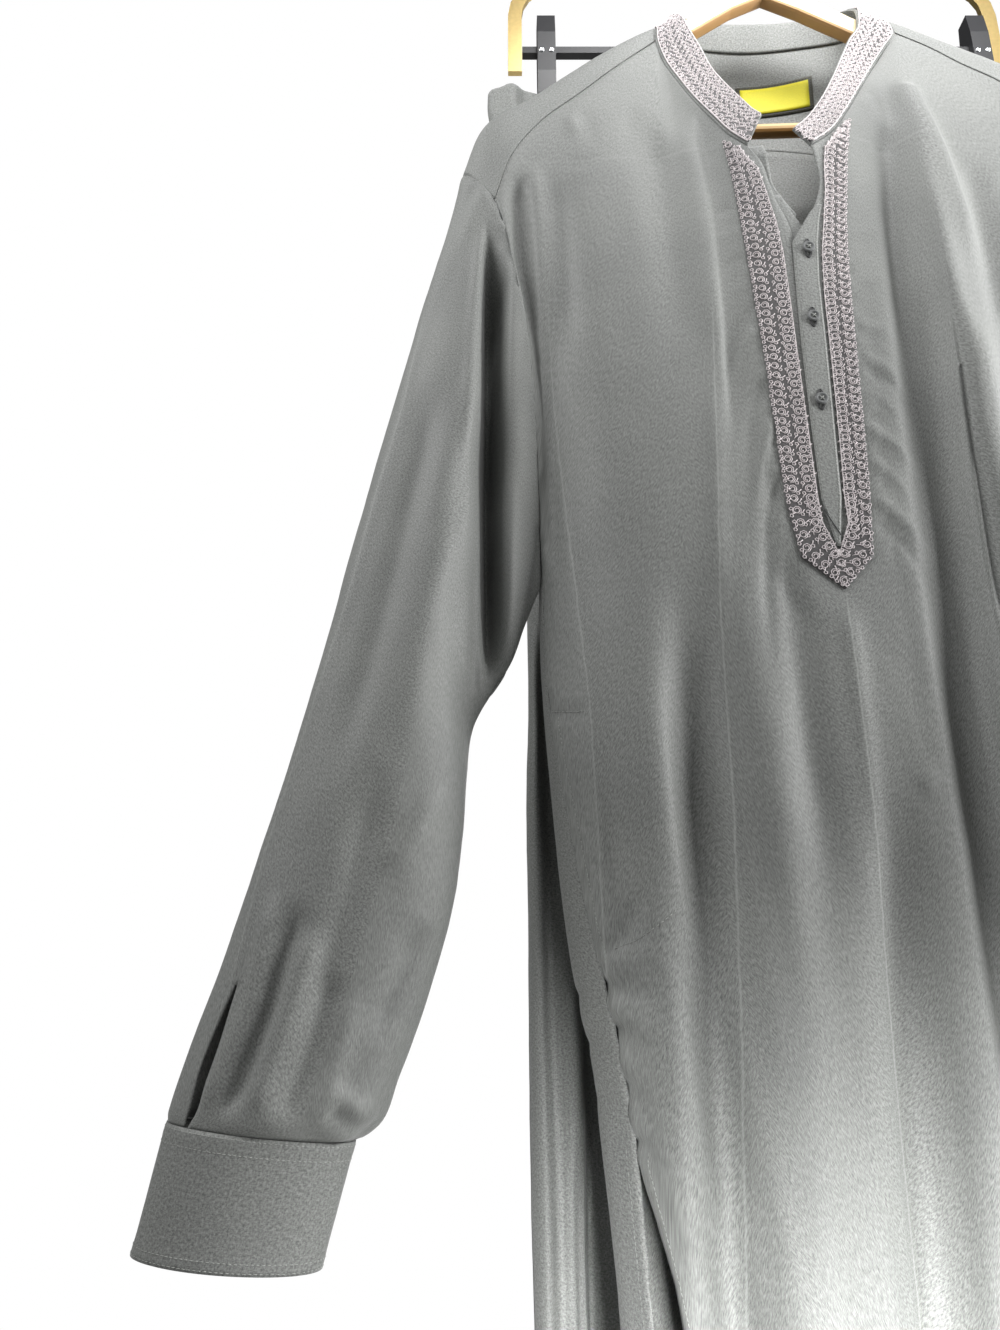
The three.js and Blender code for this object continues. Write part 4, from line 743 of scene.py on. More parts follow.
def crease(x, z, height, width, ends, line, left_share=1.0):
    """The height of one crease at each place (x, z)."""
    best = np.full(x.shape, 1e9)
    side = np.zeros(x.shape)
    along = np.zeros(x.shape)
    lengths = [math.dist(a, b) for a, b in zip(line, line[1:])]
    total = sum(lengths)
    done = 0.0
    for (ax, az), (bx, bz), length in zip(line, line[1:], lengths):
        dx, dz = (bx - ax) / length, (bz - az) / length
        t = np.clip((x - ax) * dx + (z - az) * dz, 0, length)
        ox, oz = x - (ax + t * dx), z - (az + t * dz)
        off = np.hypot(ox, oz)
        nearer = off < best
        best = np.where(nearer, off, best)
        side = np.where(nearer, ox * dz - oz * dx, side)
        along = np.where(nearer, (done + t) / total, along)
        done += length
    start = np.clip(along / max(ends[0], 1e-6), 0, 1)
    end = np.clip((1 - along) / max(ends[1], 1e-6), 0, 1)
    reach = np.where(side < 0, left_share * width, width)
    return height * smoothstep(start) * smoothstep(end) * np.exp(-(best / reach) ** 2)


def crease_sum(cloth, table):
    """The heights of a table of creases together, at each of a cloth's points."""
    x, z = cloth.points[..., 0], cloth.points[..., 2]
    total = np.zeros(x.shape)
    for row in table:
        total = total + crease(x, z, *row)
    return total


# Lines that are pressed into the front and the sleeves: each is a low ridge in the cloth, and a pale line
# painted along it as its highlight.
SIDE_PRESS = [(-163, -465), (-153, -586), (-146, -671), (-143, -753), (-141, -808)]
LEFT_PRESS = [(-63, -429), (-71, -611), (-71, -726), (-74, -828), (-79, -971)]
MIDDLE_PRESS = [(1, -636), (3, -753), (1, -874), (0, -971)]
SLEEVE_PRESS = {
    "left": [(-249, -406), (-259, -473), (-274, -542), (-287, -607), (-309, -690), (-325, -751),
             (-336, -820), (-355, -884)],
    "right": [(250, -360), (258, -470), (266, -580), (272, -700), (276, -850)],
}
DRAG_ENDS = (0.1, 0.6)
# Height, half width, fading ends, the line's (x, z) points, and STEP for a sharp left-hand side.
FRONT_CREASES = [
    # left shoulder and side
    (-5.5, 6, (0.1, 0.3), [(-185, -280), (-183, -327), (-182, -429), (-179, -534)]),
    (3.0, 6, (0.1, 0.3), [(-174, -272), (-170, -343), (-169, -429), (-168, -534)]),
    (-2.6, 8, (0.2, 0.3), [(-158, -285), (-154, -360), (-152, -440)]),
    (-1.3, 5, (0.1, 0.5), [(-104, -224), (-107, -262)]),
    (-3.6, 12, (0.2, 0.3), [(-104, -224), (-92, -277), (-84, -367), (-85, -451)]),
    (2.4, 12, (0.2, 0.3), [(-76, -230), (-64, -290), (-60, -370), (-62, -470)]),
    (-1.0, 5, (0.2, 0.4), [(-140, -222), (-135, -242), (-131, -266)]),
    (1.4, 4, (0.2, 0.4), [(-148, -230), (-142, -252)]),
    # the shaded fold between the left pressed line and the embroidery
    (-4.0, 15, (0.25, 0.2), [(-56, -520), (-54, -430), (-54, -330), (-60, -225)], STEP),
    # small dents at the pressed line across the chest
    (-0.9, 4, (0.3, 0.3), [(-152, -276), (-142, -281), (-130, -277)]),
    (0.5, 4, (0.3, 0.3), [(-150, -284), (-140, -289), (-128, -285)]),
    (-0.9, 4, (0.3, 0.3), [(-101, -275), (-92, -280), (-82, -276)]),
    (-0.8, 4, (0.3, 0.3), [(56, -266), (66, -270), (76, -266)]),
    # pressed folds down the left, the middle and the placket's foot
    (1.3, 5, (0.2, 0.1), [*SIDE_PRESS, (-138, -960)]),
    (1.6, 6, (0.1, 0.05), [*LEFT_PRESS, (-84, -1235)]),
    (1.5, 6, (0.05, 0.05), [(1, -605), *MIDDLE_PRESS, (-2, -1235)]),
    # long soft troughs of the skirt
    (-8.5, 13, (0.25, 0.1),
     [(-89, -560), (-91, -671), (-90, -760), (-86, -860), (-84, -971), (-86, -1235)]),
    (4.0, 12, (0.3, 0.1), [(-108, -760), (-108, -860), (-104, -971), (-106, -1235)]),
    (-4.0, 11, (0.1, 0.4), [(-29, -579), (-28, -628), (-27, -705), (-22, -800)]),
    (3.0, 12, (0.3, 0.2), [(-46, -640), (-46, -760), (-42, -900), (-44, -1080)]),
    (-6.5, 20, (0.3, 0.05), [(14, -730), (16, -851), (10, -971), (6, -1235)]),
    (4.5, 15, (0.3, 0.1), [(48, -800), (46, -900), (40, -1030), (40, -1235)]),
    (-4.0, 12, (0.3, 0.1), [(72, -760), (70, -900), (74, -1050), (76, -1235)]),
    (-3.0, 10, (0.3, 0.3), [(-150, -700), (-132, -780), (-120, -860)]),
    # right breast
    (6.0, 9, (0.1, 0.3), [(90, -200), (94, -236), (101, -276), (107, -330), (110, -390)]),
    (-4.0, 9, (0.4, 0.3), [(78, -206), (80, -236), (76, -325), (78, -404), (75, -479)]),
    (2.5, 6, (0.2, 0.4), [(62, -215), (68, -236), (74, -262)]),
    (-6.0, 16, (0.25, 0.25),
     [(85, -380), (87, -429), (84, -496), (86, -559), (85, -628), (79, -678)], STEP),
    (4.5, 10, (0.25, 0.25), [(99, -400), (100, -480), (101, -560), (99, -640)]),
    (-4.0, 10, (0.2, 0.3), [(128, -270), (126, -360), (122, -450)]),
    (3.0, 9, (0.2, 0.3), [(150, -300), (148, -400), (150, -500)]),
    (1.6, 4, (0.3, 0.5), [(28, -721), (34, -716), (40, -709)]),
    # drags at the right of the embroidery
    (0.8, 2.9, DRAG_ENDS, [(28, -424), (44, -428), (64, -440)]),
    (1.1, 3.1, DRAG_ENDS, [(27, -446), (42, -456), (60, -478)]),
    (-0.9, 2.7, DRAG_ENDS, [(27, -457), (43, -468), (60, -492)]),
    (0.8, 2.5, (0.1, 0.5), [(26, -470), (38, -480), (50, -496)]),
    (1.2, 3.2, DRAG_ENDS, [(25, -496), (42, -512), (62, -540)]),
    (0.8, 2.5, (0.1, 0.5), [(24, -521), (37, -532), (48, -550)]),
    (1.3, 3.4, DRAG_ENDS, [(23, -545), (42, -564), (64, -596)]),
    (-1.0, 3.4, DRAG_ENDS, [(22, -560), (40, -580), (58, -614)]),
    (0.4, 2.7, DRAG_ENDS, [(34, -318), (48, -308), (64, -288)]),
    (0.3, 2.7, DRAG_ENDS, [(32, -352), (48, -346), (66, -332)]),
    (0.4, 2.7, DRAG_ENDS, [(30, -388), (46, -388), (64, -386)]),
    # drags at its left
    (1.3, 3.1, DRAG_ENDS, [(-36, -424), (-48, -446), (-60, -478)]),
    (-0.7, 2.9, DRAG_ENDS, [(-37, -408), (-50, -428), (-62, -456)]),
    (0.5, 2.9, DRAG_ENDS, [(-38, -388), (-52, -402), (-66, -424)]),
    (-0.5, 2.9, DRAG_ENDS, [(-39, -368), (-54, -378), (-68, -394)]),
    (-1.3, 3.4, DRAG_ENDS, [(-34, -464), (-44, -496), (-52, -536)]),
    (1.4, 3.4, DRAG_ENDS, [(-32, -492), (-42, -526), (-50, -570)]),
    (-1.7, 4.2, (0.1, 0.5), [(-31, -528), (-39, -561), (-44, -606), (-45, -660)]),
    (0.4, 2.9, DRAG_ENDS, [(-40, -346), (-54, -352), (-70, -362)]),
    (-0.4, 2.9, DRAG_ENDS, [(-41, -328), (-56, -330), (-72, -336)]),
    # pocket's mouth, and the gathers at its foot
    (-0.6, 3, (0.2, 0.2), [(-172, -668), (-164, -672), (-146, -674)]),
    (0.5, 3, (0.2, 0.2), [(-170, -662), (-146, -667)]),
    (-2.0, 4, (0.05, 0.6), [(-143, -806), (-130, -790), (-118, -768)]),
    (2.2, 4, (0.05, 0.6), [(-143, -812), (-126, -808), (-108, -800)]),
    (-2.2, 4, (0.05, 0.6), [(-140, -820), (-124, -824), (-104, -822)]),
    (2.0, 4, (0.05, 0.6), [(-138, -830), (-122, -840), (-106, -848)]),
    # the same on the right side
    (-0.6, 3, (0.2, 0.2), [(178, -668), (168, -672), (150, -675)]),
    (-2.0, 4, (0.05, 0.6), [(178, -806), (164, -790), (150, -770)]),
    (2.2, 4, (0.05, 0.6), [(178, -812), (160, -810), (140, -802)]),
    (-2.0, 4, (0.05, 0.6), [(177, -822), (160, -828), (138, -830)]),
    (1.4, 5, (0.2, 0.1), [(158, -470), (152, -640), (150, -860), (148, -1100)]),
]
BACK_CREASES = [
    (1.6, 6, (0.05, 0.05), [(4, -215), (5, -500), (3, -800), (4, -1235)]),
    (5.0, 15, (0.1, 0.3), [(-60, -235), (-72, -420), (-70, -640), (-78, -900)]),
    (-4.5, 12, (0.1, 0.3), [(-36, -225), (-40, -400), (-38, -620)]),
    (4.5, 14, (0.1, 0.3), [(64, -235), (74, -420), (80, -660), (78, -860)]),
    (-4.5, 12, (0.2, 0.2), [(100, -330), (104, -520), (100, -760)]),
    (-4.0, 12, (0.2, 0.2), [(-108, -340), (-112, -560), (-106, -800)]),
    (3.0, 10, (0.2, 0.2), [(-140, -420), (-142, -600), (-134, -780)]),
    (3.0, 10, (0.2, 0.2), [(146, -430), (148, -620), (152, -820)]),
    (-5.0, 17, (0.3, 0.05), [(30, -760), (34, -960), (30, -1235)]),
    (4.5, 15, (0.3, 0.05), [(-10, -820), (-14, -1000), (-10, -1235)]),
    (-5.0, 14, (0.3, 0.05), [(-66, -900), (-60, -1060), (-62, -1235)]),
    (4.0, 12, (0.3, 0.05), [(122, -880), (118, -1050), (120, -1235)]),
    (2.0, 6, (0.1, 0.5), [(-168, -600), (-150, -622), (-128, -636)]),
    (2.0, 6, (0.1, 0.5), [(172, -600), (154, -626), (132, -642)]),
    (-2.4, 6, (0.3, 0.3), [(-150, -690), (-120, -716), (-84, -724)]),
    (2.0, 6, (0.3, 0.3), [(150, -720), (112, -738), (76, -736)]),
]
# Puckers where the side seam is drawn up under the pocket and where it slants to the slit.
SEAM_PUCKERS = [
    (-146, -818), (-142, -829), (-139, -842), (-136, -856), (-134, -869), (-132, -883), (-130, -895),
]


def puckers(places, reach, drop, height, width):
    """Short slanting dimples from the places, alternating with small swellings."""
    table = []
    for k, (x, z) in enumerate(places):
        sign = -1 if k % 2 == 0 else 0.7
        length = reach * (0.75 + 0.5 * ((k * 7) % 5) / 5)
        table.append((sign * height, width, (0.15, 0.6), [(x, z), (x + length, z - drop)]))
    return table


LEFT_SLEEVE_CREASES = [
    (2.5, 4, (0.1, 0.1),
     [(-209, -330), (-215, -421), (-217, -508), (-218, -581), (-219, -637), (-218, -674)]),
    (1.8, 4.5, (0.1, 0.05), SLEEVE_PRESS["left"]),
    (-4.5, 11, (0.2, 0.25), [(-240, -443), (-246, -508), (-259, -581), (-274, -655), (-290, -724)]),
    (3.0, 10, (0.3, 0.3), [(-228, -470), (-232, -560), (-242, -640), (-252, -720)]),
    (-3.0, 9, (0.3, 0.3), [(-262, -700), (-276, -780), (-296, -850)]),
    (3.4, 5, (0.2, 0.15), [(-316, -770), (-322, -828), (-334, -857), (-344, -882)]),
    (-5.0, 6, (0.2, 0.15), [(-301, -777), (-313, -828), (-326, -868), (-334, -884)]),
    (3.2, 6, (0.2, 0.15), [(-290, -790), (-304, -838), (-318, -882)]),
    (-3.0, 6, (0.2, 0.15), [(-280, -812), (-292, -850), (-304, -885)]),
    (2.5, 6, (0.3, 0.15), [(-268, -820), (-278, -858), (-288, -888)]),
    (-3.4, 7, (0.3, 0.3), [(-236, -786), (-250, -822), (-262, -850)]),
    (2.4, 5, (0.2, 0.4), [(-284, -868), (-268, -880), (-256, -884)]),
    (-2.2, 4, (0.2, 0.4), [(-282, -878), (-266, -889), (-256, -892)]),
    (2.0, 7, (0.3, 0.3), [(-226, -712), (-242, -744), (-262, -768)]),
    (2.0, 6, (0.2, 0.5), [(-203, -292), (-216, -318), (-226, -352)]),
    (-2.2, 6, (0.2, 0.5), [(-210, -280), (-224, -306), (-236, -340)]),
]
RIGHT_SLEEVE_CREASES = [
    (1.8, 4.5, (0.1, 0.05), SLEEVE_PRESS["right"]),
    (-4.5, 11, (0.2, 0.25), [(240, -380), (244, -500), (250, -620), (254, -740)]),
    (3.0, 9, (0.2, 0.25), [(224, -480), (226, -600), (230, -720)]),
    (-3.5, 8, (0.2, 0.25), [(216, -620), (220, -740), (226, -840)]),
    (3.0, 6, (0.2, 0.1), [(238, -770), (242, -830), (244, -862)]),
    (-3.4, 6, (0.2, 0.1), [(252, -780), (256, -830), (258, -860)]),
    (3.0, 6, (0.2, 0.1), [(266, -790), (268, -830), (270, -860)]),
    (-3.0, 5, (0.2, 0.1), [(226, -800), (228, -840), (230, -866)]),
    (2.2, 6, (0.3, 0.4), [(208, -700), (226, -724), (246, -736)]),
]
# The shaded recess between the sleeve's lit front and the armhole. Its lines run upwards on the
# left and downwards on the right, so that the sharp edge is the one away from the body.
LEFT_RECESS = [
    (36, 10, (0.3, 0.25),
     [(-204, -672), (-206, -607), (-207, -542), (-207, -458), (-207, -398), (-205, -318)], STEP),
]
RIGHT_RECESS = [
    (18, 11, (0.25, 0.3), [(210, -310), (209, -420), (206, -540), (202, -640)], STEP),
]


# ---- surfaces to lay things on ----
FAR = 400.0  # further out than any cloth


class Surface:
    """Finds the face of a cloth that is seen from the front at a place (x, z)."""

    def __init__(self, cloth):
        corners, _ = cell_corners(cloth)
        self.tree = BVHTree.FromPolygons(cloth.points.reshape(-1, 3).tolist(), corners.tolist())

    def at(self, x, z):
        """The point there and its normal, or None for both where there is no cloth."""
        hit, normal, _, _ = self.tree.ray_cast(Vector((x, -FAR, z)), Vector((0, 1, 0)))
        if hit is None:
            return None, None
        if normal.y > 0:
            normal = -normal
        return np.array(hit), np.array(normal)

    def over(self, x, z, lift, proud=0.0):
        """A point lifted off the cloth, or off the flat front where there is none, and its normal."""
        point, normal = self.at(x, z)
        if point is None:
            point, normal = np.array([x, front_plane(z) - proud, z]), np.array([0, -1.0, 0])
        return point + normal * lift, normal


def between(table, spacing):
    """The rows of a strip's table, filled in with straight steps of about the spacing."""
    filled = []
    for a, b in zip(table, table[1:]):
        length = math.dist((a["left"], a["z"]), (b["left"], b["z"]))
        steps = max(1, int(round(length / spacing)))
        for s in range(steps):
            filled.append({key: lerp(a[key], b[key], s / steps) for key in a})
    return filled + [dict(table[-1])]


STRIP_STEP = 2.6  # millimetres between the rows of a laid strip


def laid_grid(surface, table, columns, lift, spacing):
    """A grid of points on a surface, moved out by lift, from rows of z, left, right, zRight."""
    shares = np.linspace(0, 1, columns)
    grid = []
    for row in between(table, spacing):
        places = [(lerp(row["left"], row["right"], s), lerp(row["z"], row["zRight"], s)) for s in shares]
        grid.append([surface.over(x, z, lift)[0] for x, z in places])
    grid = np.array(grid)
    for _ in range(2):  # evens out the step where the strip leaves the panel
        grid[1:-1, :, 1] = (grid[:-2, :, 1] + 2 * grid[1:-1, :, 1] + grid[2:, :, 1]) / 4
    return grid


# ---- threads ----
THREAD_SUNK = 0.18        # depth of a thread's lower edges in the cloth
THREAD_CREST = 0.55       # width of its crest as a share of its own
STITCH_DIPS = [-0.2, 0.0, -0.2]


class Threads:
    """Many short runs of thread in one mesh, each a low ridge along its path of points."""

    def __init__(self):
        self.verts, self.faces = [], []

    def run(self, path, normals, width, height, closed=False):
        path, normals = np.asarray(path, float), np.asarray(normals, float)
        if closed:
            along = np.roll(path, -1, axis=0) - np.roll(path, 1, axis=0)
        else:
            along = np.gradient(path, axis=0)
        side = np.cross(along, normals)
        side /= np.maximum(np.linalg.norm(side, axis=1, keepdims=True), 1e-9)
        edge, crest = side * width / 2, side * width / 2 * THREAD_CREST
        low, high = -normals * THREAD_SUNK, normals * height
        ring = [path - edge + low, path - crest + high, path + crest + high, path + edge + low]
        start, n = len(self.verts), len(path)
        self.verts.extend(corner[k] for k in range(n) for corner in ring)
        for k in range(n if closed else n - 1):
            a, b = start + 4 * k, start + 4 * ((k + 1) % n)
            for s in range(4):
                t = (s + 1) % 4
                self.faces.append((a + s, a + t, b + t, b + s))
        if not closed:
            last = start + 4 * (n - 1)
            self.faces.append((start + 3, start + 2, start + 1, start))
            self.faces.append((last, last + 1, last + 2, last + 3))

    def stitches(self, path, normals, pitch=2.6, length=1.8, width=0.5, height=0.28):
        """Separate stitches along a path, each dipping into the cloth at its ends."""
        path, normals = np.asarray(path, float), np.asarray(normals, float)
        steps = np.linalg.norm(np.diff(path, axis=0), axis=1)
        place = np.concatenate([[0], np.cumsum(steps)])
        for start in np.arange(0, place[-1] - length, pitch):
            spots = [start, start + length / 2, start + length]
            points = np.stack([np.interp(spots, place, path[:, c]) for c in range(3)], 1)
            ways = np.stack([np.interp(spots, place, normals[:, c]) for c in range(3)], 1)
            self.run(points + ways * np.array(STITCH_DIPS)[:, None], ways, width, height)

    def mesh(self, name, material):
        faces = np.array(self.faces)
        uvs = np.zeros((faces.size, 2))
        return make_mesh(name, np.array(self.verts), faces, uvs, np.zeros(len(faces), bool), material)


def inset_path(cloth, side, inset, low=0.0, high=1.0):
    """Points and normals at a distance in from an edge, between two shares of its length."""
    count = cloth.points.shape[1 if side in ("top", "bottom") else 0]
    first, last = int(low * (count - 1)), int(high * (count - 1))
    path, normals = [], []
    for k in range(first, last + 1):
        if side in ("top", "bottom"):
            points, ways, place = cloth.points[:, k], cloth.normals[:, k], cloth.v[:, k]
        else:
            points, ways, place = cloth.points[k], cloth.normals[k], cloth.u[k]
        at = place[0] + inset if side in ("top", "left") else place[-1] - inset
        path.append([np.interp(at, place, points[:, c]) for c in range(3)])
        normals.append([np.interp(at, place, ways[:, c]) for c in range(3)])
    return np.array(path), np.array(normals)


def share_at(cloth, side, z):
    """The share of an edge's length at which it passes a height."""
    line = cloth.points[:, 0 if side == "left" else -1, 2]
    return float(np.argmin(np.abs(line - z))) / (len(line) - 1)


def seam_groove(cloth, sides, depth=0.7, width=2.4):
    """Sinks the cloth along its sewn edges."""
    return -depth * np.exp(-(cloth.edge_distance(sides) / width) ** 2)


HEM_STEP = 0.8  # about how far a hem's inner edge takes to fall back to the single cloth


def hem_fold(cloth, sides, width, height, z_high=1e9, z_low=-1e9):
    """A turned hem stands a little proud of the single cloth."""
    z = cloth.points[..., 2]
    inside = (z < z_high) & (z > z_low)
    past = np.minimum(cloth.edge_distance(sides) - width, 50 * HEM_STEP)
    return np.where(inside, height / (1 + np.exp(past / HEM_STEP)), 0)


# ---- materials ----
def new_material(name, roughness, metallic=0.0):
    """A material, its node tree and its shader."""
    material = bpy.data.materials.new(name)
    material.use_nodes = True
    shader = material.node_tree.nodes["Principled BSDF"]
    shader.inputs["Roughness"].default_value = roughness
    shader.inputs["Metallic"].default_value = metallic
    return material, material.node_tree, shader


def add(tree, kind, settings=None, **inputs):
    """A node with its settings and input values. An input may be another node's output."""
    node = tree.nodes.new(kind)
    for key, value in (settings or {}).items():
        setattr(node, key, value)
    for key, value in inputs.items():
        socket = node.inputs[int(key[1:])] if key[0] == "_" else node.inputs[key.replace("_", " ")]
        if isinstance(value, bpy.types.NodeSocket):
            tree.links.new(value, socket)
        else:
            socket.default_value = value
    return node


def maths(tree, operation, a, b=0.0, c=0.0):
    """The result of a sum on numbers or other nodes' outputs."""
    return add(tree, "ShaderNodeMath", {"operation": operation}, _0=a, _1=b, _2=c).outputs[0]


def ramp(tree, source, stops):
    """A colour ramp from stops of (place, colour)."""
    node = tree.nodes.new("ShaderNodeValToRGB")
    tree.links.new(source, node.inputs["Fac"])
    elements = node.color_ramp.elements
    while len(elements) < len(stops):
        elements.new(0.5)
    for element, (place, colour) in zip(elements, stops):
        element.position = place
        element.color = colour if len(colour) == 4 else (*colour, 1)
    return node


def stretched(tree, source, scale):
    """Coordinates scaled by their own factors along the three axes."""
    return add(tree, "ShaderNodeMapping", Vector=source, Scale=scale).outputs["Vector"]


def noise_at(tree, vector, scale, detail=3.0, roughness=0.5):
    """Noise from 0 to 1 at the given coordinates."""
    return add(tree, "ShaderNodeTexNoise", None, Vector=vector, Scale=scale, Detail=detail,
               Roughness=roughness).outputs["Fac"]


def object_place(tree):
    """Places in metres in the part's own frame."""
    return tree.nodes.new("ShaderNodeTexCoord").outputs["Object"]


def smooth_range(tree, value, start, end, low, high):
    """Runs smoothly from low to high while the value goes from start to end."""
    node = add(tree, "ShaderNodeMapRange", {"interpolation_type": "SMOOTHSTEP"}, Value=value)
    for key, number in (("From Min", start), ("From Max", end), ("To Min", low), ("To Max", high)):
        node.inputs[key].default_value = number
    return node.outputs["Result"]


def bump_surface(tree, shader, height, strength, distance):
    """Gives a shader the fine relief of a height."""
    bumped = add(tree, "ShaderNodeBump", None, Height=height, Strength=strength, Distance=distance)
    tree.links.new(bumped.outputs["Normal"], shader.inputs["Normal"])


def tinted(tree, below, above, amount):
    """Mixes a colour over another by an amount from 0 to 1."""
    node = add(tree, "ShaderNodeMix", {"data_type": "RGBA"})
    tree.links.new(amount, node.inputs["Factor"])
    for value, socket in ((below, node.inputs[6]), (above, node.inputs[7])):
        if isinstance(value, bpy.types.NodeSocket):
            tree.links.new(value, socket)
        else:
            socket.default_value = (*value, 1)
    return node.outputs[2]


LINE_FRAME = 1.4  # metres over which a drawn line's places are spread in its ramp
LINE_MIDDLE = {"down": (-0.65, 0.0), "across": (0.0, -0.3)}  # middle of that stretch, along and across
LINE_WANDER = 0.0016


def crease_highlight(tree, line, half_width, strength, lies="down"):
    """How much a pressed line's painted highlight shows at a place: a thin pale line that runs mostly down,
    or across, through (x, z) points in millimetres, fades at its ends and varies in strength with noise."""
    place = object_place(tree)
    parts = add(tree, "ShaderNodeSeparateXYZ", None, Vector=place)
    x, z = parts.outputs["X"], parts.outputs["Z"]
    run, off = (z, x) if lies == "down" else (x, z)
    points = sorted(((p[1], p[0]) if lies == "down" else p) for p in line)
    middle_run, middle_off = LINE_MIDDLE[lies]
    stops = []
    for k, (r, o) in enumerate(points):
        value = (o * MM - middle_off) / LINE_FRAME + 0.5
        alpha = 0 if k in (0, len(points) - 1) else strength
        stops.append(((r * MM - middle_run) / LINE_FRAME + 0.5, (value, value, value, alpha)))
    spread = maths(tree, "MULTIPLY_ADD", run, 1 / LINE_FRAME, 0.5 - middle_run / LINE_FRAME)
    node = ramp(tree, spread, stops)
    wander = maths(tree, "MULTIPLY_ADD", noise_at(tree, place, 90.0), LINE_WANDER, -LINE_WANDER / 2)
    value = maths(tree, "MULTIPLY_ADD", node.outputs["Color"], LINE_FRAME, middle_off - 0.5 * LINE_FRAME)
    away = maths(tree, "ABSOLUTE", maths(tree, "ADD", maths(tree, "SUBTRACT", off, value), wander))
    near = smooth_range(tree, away, 0.0, half_width * MM, 1.0, 0.0)
    highlight_breaks = maths(tree, "MULTIPLY_ADD", noise_at(tree, place, 140.0), 1.4, 0.3)
    return maths(tree, "MULTIPLY", maths(tree, "MULTIPLY", near, node.outputs["Alpha"]), highlight_breaks)


MOTTLE_SCALE = 700          # lumps of tone to a metre of cloth
YARN_SCALE = (2600, 420)    # the same across a yarn and along it
# Wide patches a little darker and lighter than the rest, as places in a noise and factors.
CLOTH_SHADES = [(0.3, (0.94, 0.94, 0.945)), (0.7, (1.05, 1.05, 1.045))]


def woven(name, colour, contrast=0.46, sheen=0.22, bump=0.26, lines=(), roughness=0.62, fine=1.1):
    """Fine plain weave with a mottled yarn, and pale painted highlights along pressed lines. UVs are metres
    along the cloth.
    """
    material, tree, shader = new_material(name, roughness)
    uv = tree.nodes.new("ShaderNodeTexCoord").outputs["UV"]
    across, along = (scale * fine for scale in YARN_SCALE)
    lumps = MOTTLE_SCALE * fine
    mottle = noise_at(tree, stretched(tree, uv, (lumps, lumps, 1)), 1.0, 3.0, 0.65)
    warp = noise_at(tree, stretched(tree, uv, (across, along, 1)), 1.0, 2.0)
    weft = noise_at(tree, stretched(tree, uv, (along, across, 1)), 1.0, 2.0)
    threads = maths(tree, "MULTIPLY", maths(tree, "ADD", warp, weft), 0.25)
    grain = maths(tree, "MULTIPLY_ADD", mottle, 0.5, threads)
    dark, light = [c * (1 - contrast) for c in colour], [c * (1 + contrast) for c in colour]
    tone = ramp(tree, grain, [(0.40, dark), (0.5, colour), (0.60, light)])
    shade = ramp(tree, noise_at(tree, object_place(tree), 16.0), CLOTH_SHADES)
    mixed = add(tree, "ShaderNodeMix", {"data_type": "RGBA", "blend_type": "MULTIPLY"})
    mixed.inputs["Factor"].default_value = 1.0
    tree.links.new(tone.outputs["Color"], mixed.inputs[6])
    tree.links.new(shade.outputs["Color"], mixed.inputs[7])
    result = mixed.outputs[2]
    # Painted highlight: a paler copy of the cloth's colour along each pressed line.
    pale = [min(1.0, c * 2.1) for c in colour]
    for line in lines:
        result = tinted(tree, result, pale, crease_highlight(tree, *line))
    tree.links.new(result, shader.inputs["Base Color"])
    bump_surface(tree, shader, grain, bump, 0.0003)
    shader.inputs["Sheen Weight"].default_value = sheen
    shader.inputs["Sheen Roughness"].default_value = 0.4
    return material


def plain(name, colour, roughness, metallic=0.0, speckle=(0.94, 1.05), scale=400.0, bump=0.1):
    """A moulded, plated or lacquered finish with slight unevenness in tone and surface."""
    material, tree, shader = new_material(name, roughness, metallic)
    noise = noise_at(tree, object_place(tree), scale)
    low, high = ([c * s for c in colour] for s in speckle)
    tone = ramp(tree, noise, [(0.3, low), (0.7, high)])
    tree.links.new(tone.outputs["Color"], shader.inputs["Base Color"])
    bump_surface(tree, shader, noise, bump, 0.0002)
    return material


def grained(name, pale, brown, roughness, under):
    """Lacquered wood with its grain along X, and painted shade that makes it browner where the surface
    faces down.
    """
    material, tree, shader = new_material(name, roughness)
    noise = noise_at(tree, stretched(tree, object_place(tree), (3, 60, 60)), 3.0, 6.0, 0.6)
    tone = ramp(tree, noise, [(0.32, brown), (0.62, pale)]).outputs["Color"]
    # Painted shade: the colour turns to the under colour as the surface faces down.
    normal = tree.nodes.new("ShaderNodeNewGeometry").outputs["Normal"]
    upwards = add(tree, "ShaderNodeSeparateXYZ", None, Vector=normal).outputs["Z"]
    down = smooth_range(tree, upwards, 0.05, -0.55, 0.0, 0.9)
    tree.links.new(tinted(tree, tone, under, down), shader.inputs["Base Color"])
    bump_surface(tree, shader, noise, 0.06, 0.0003)
    shader.inputs["Coat Weight"].default_value = 0.35
    shader.inputs["Coat Roughness"].default_value = 0.25
    return material


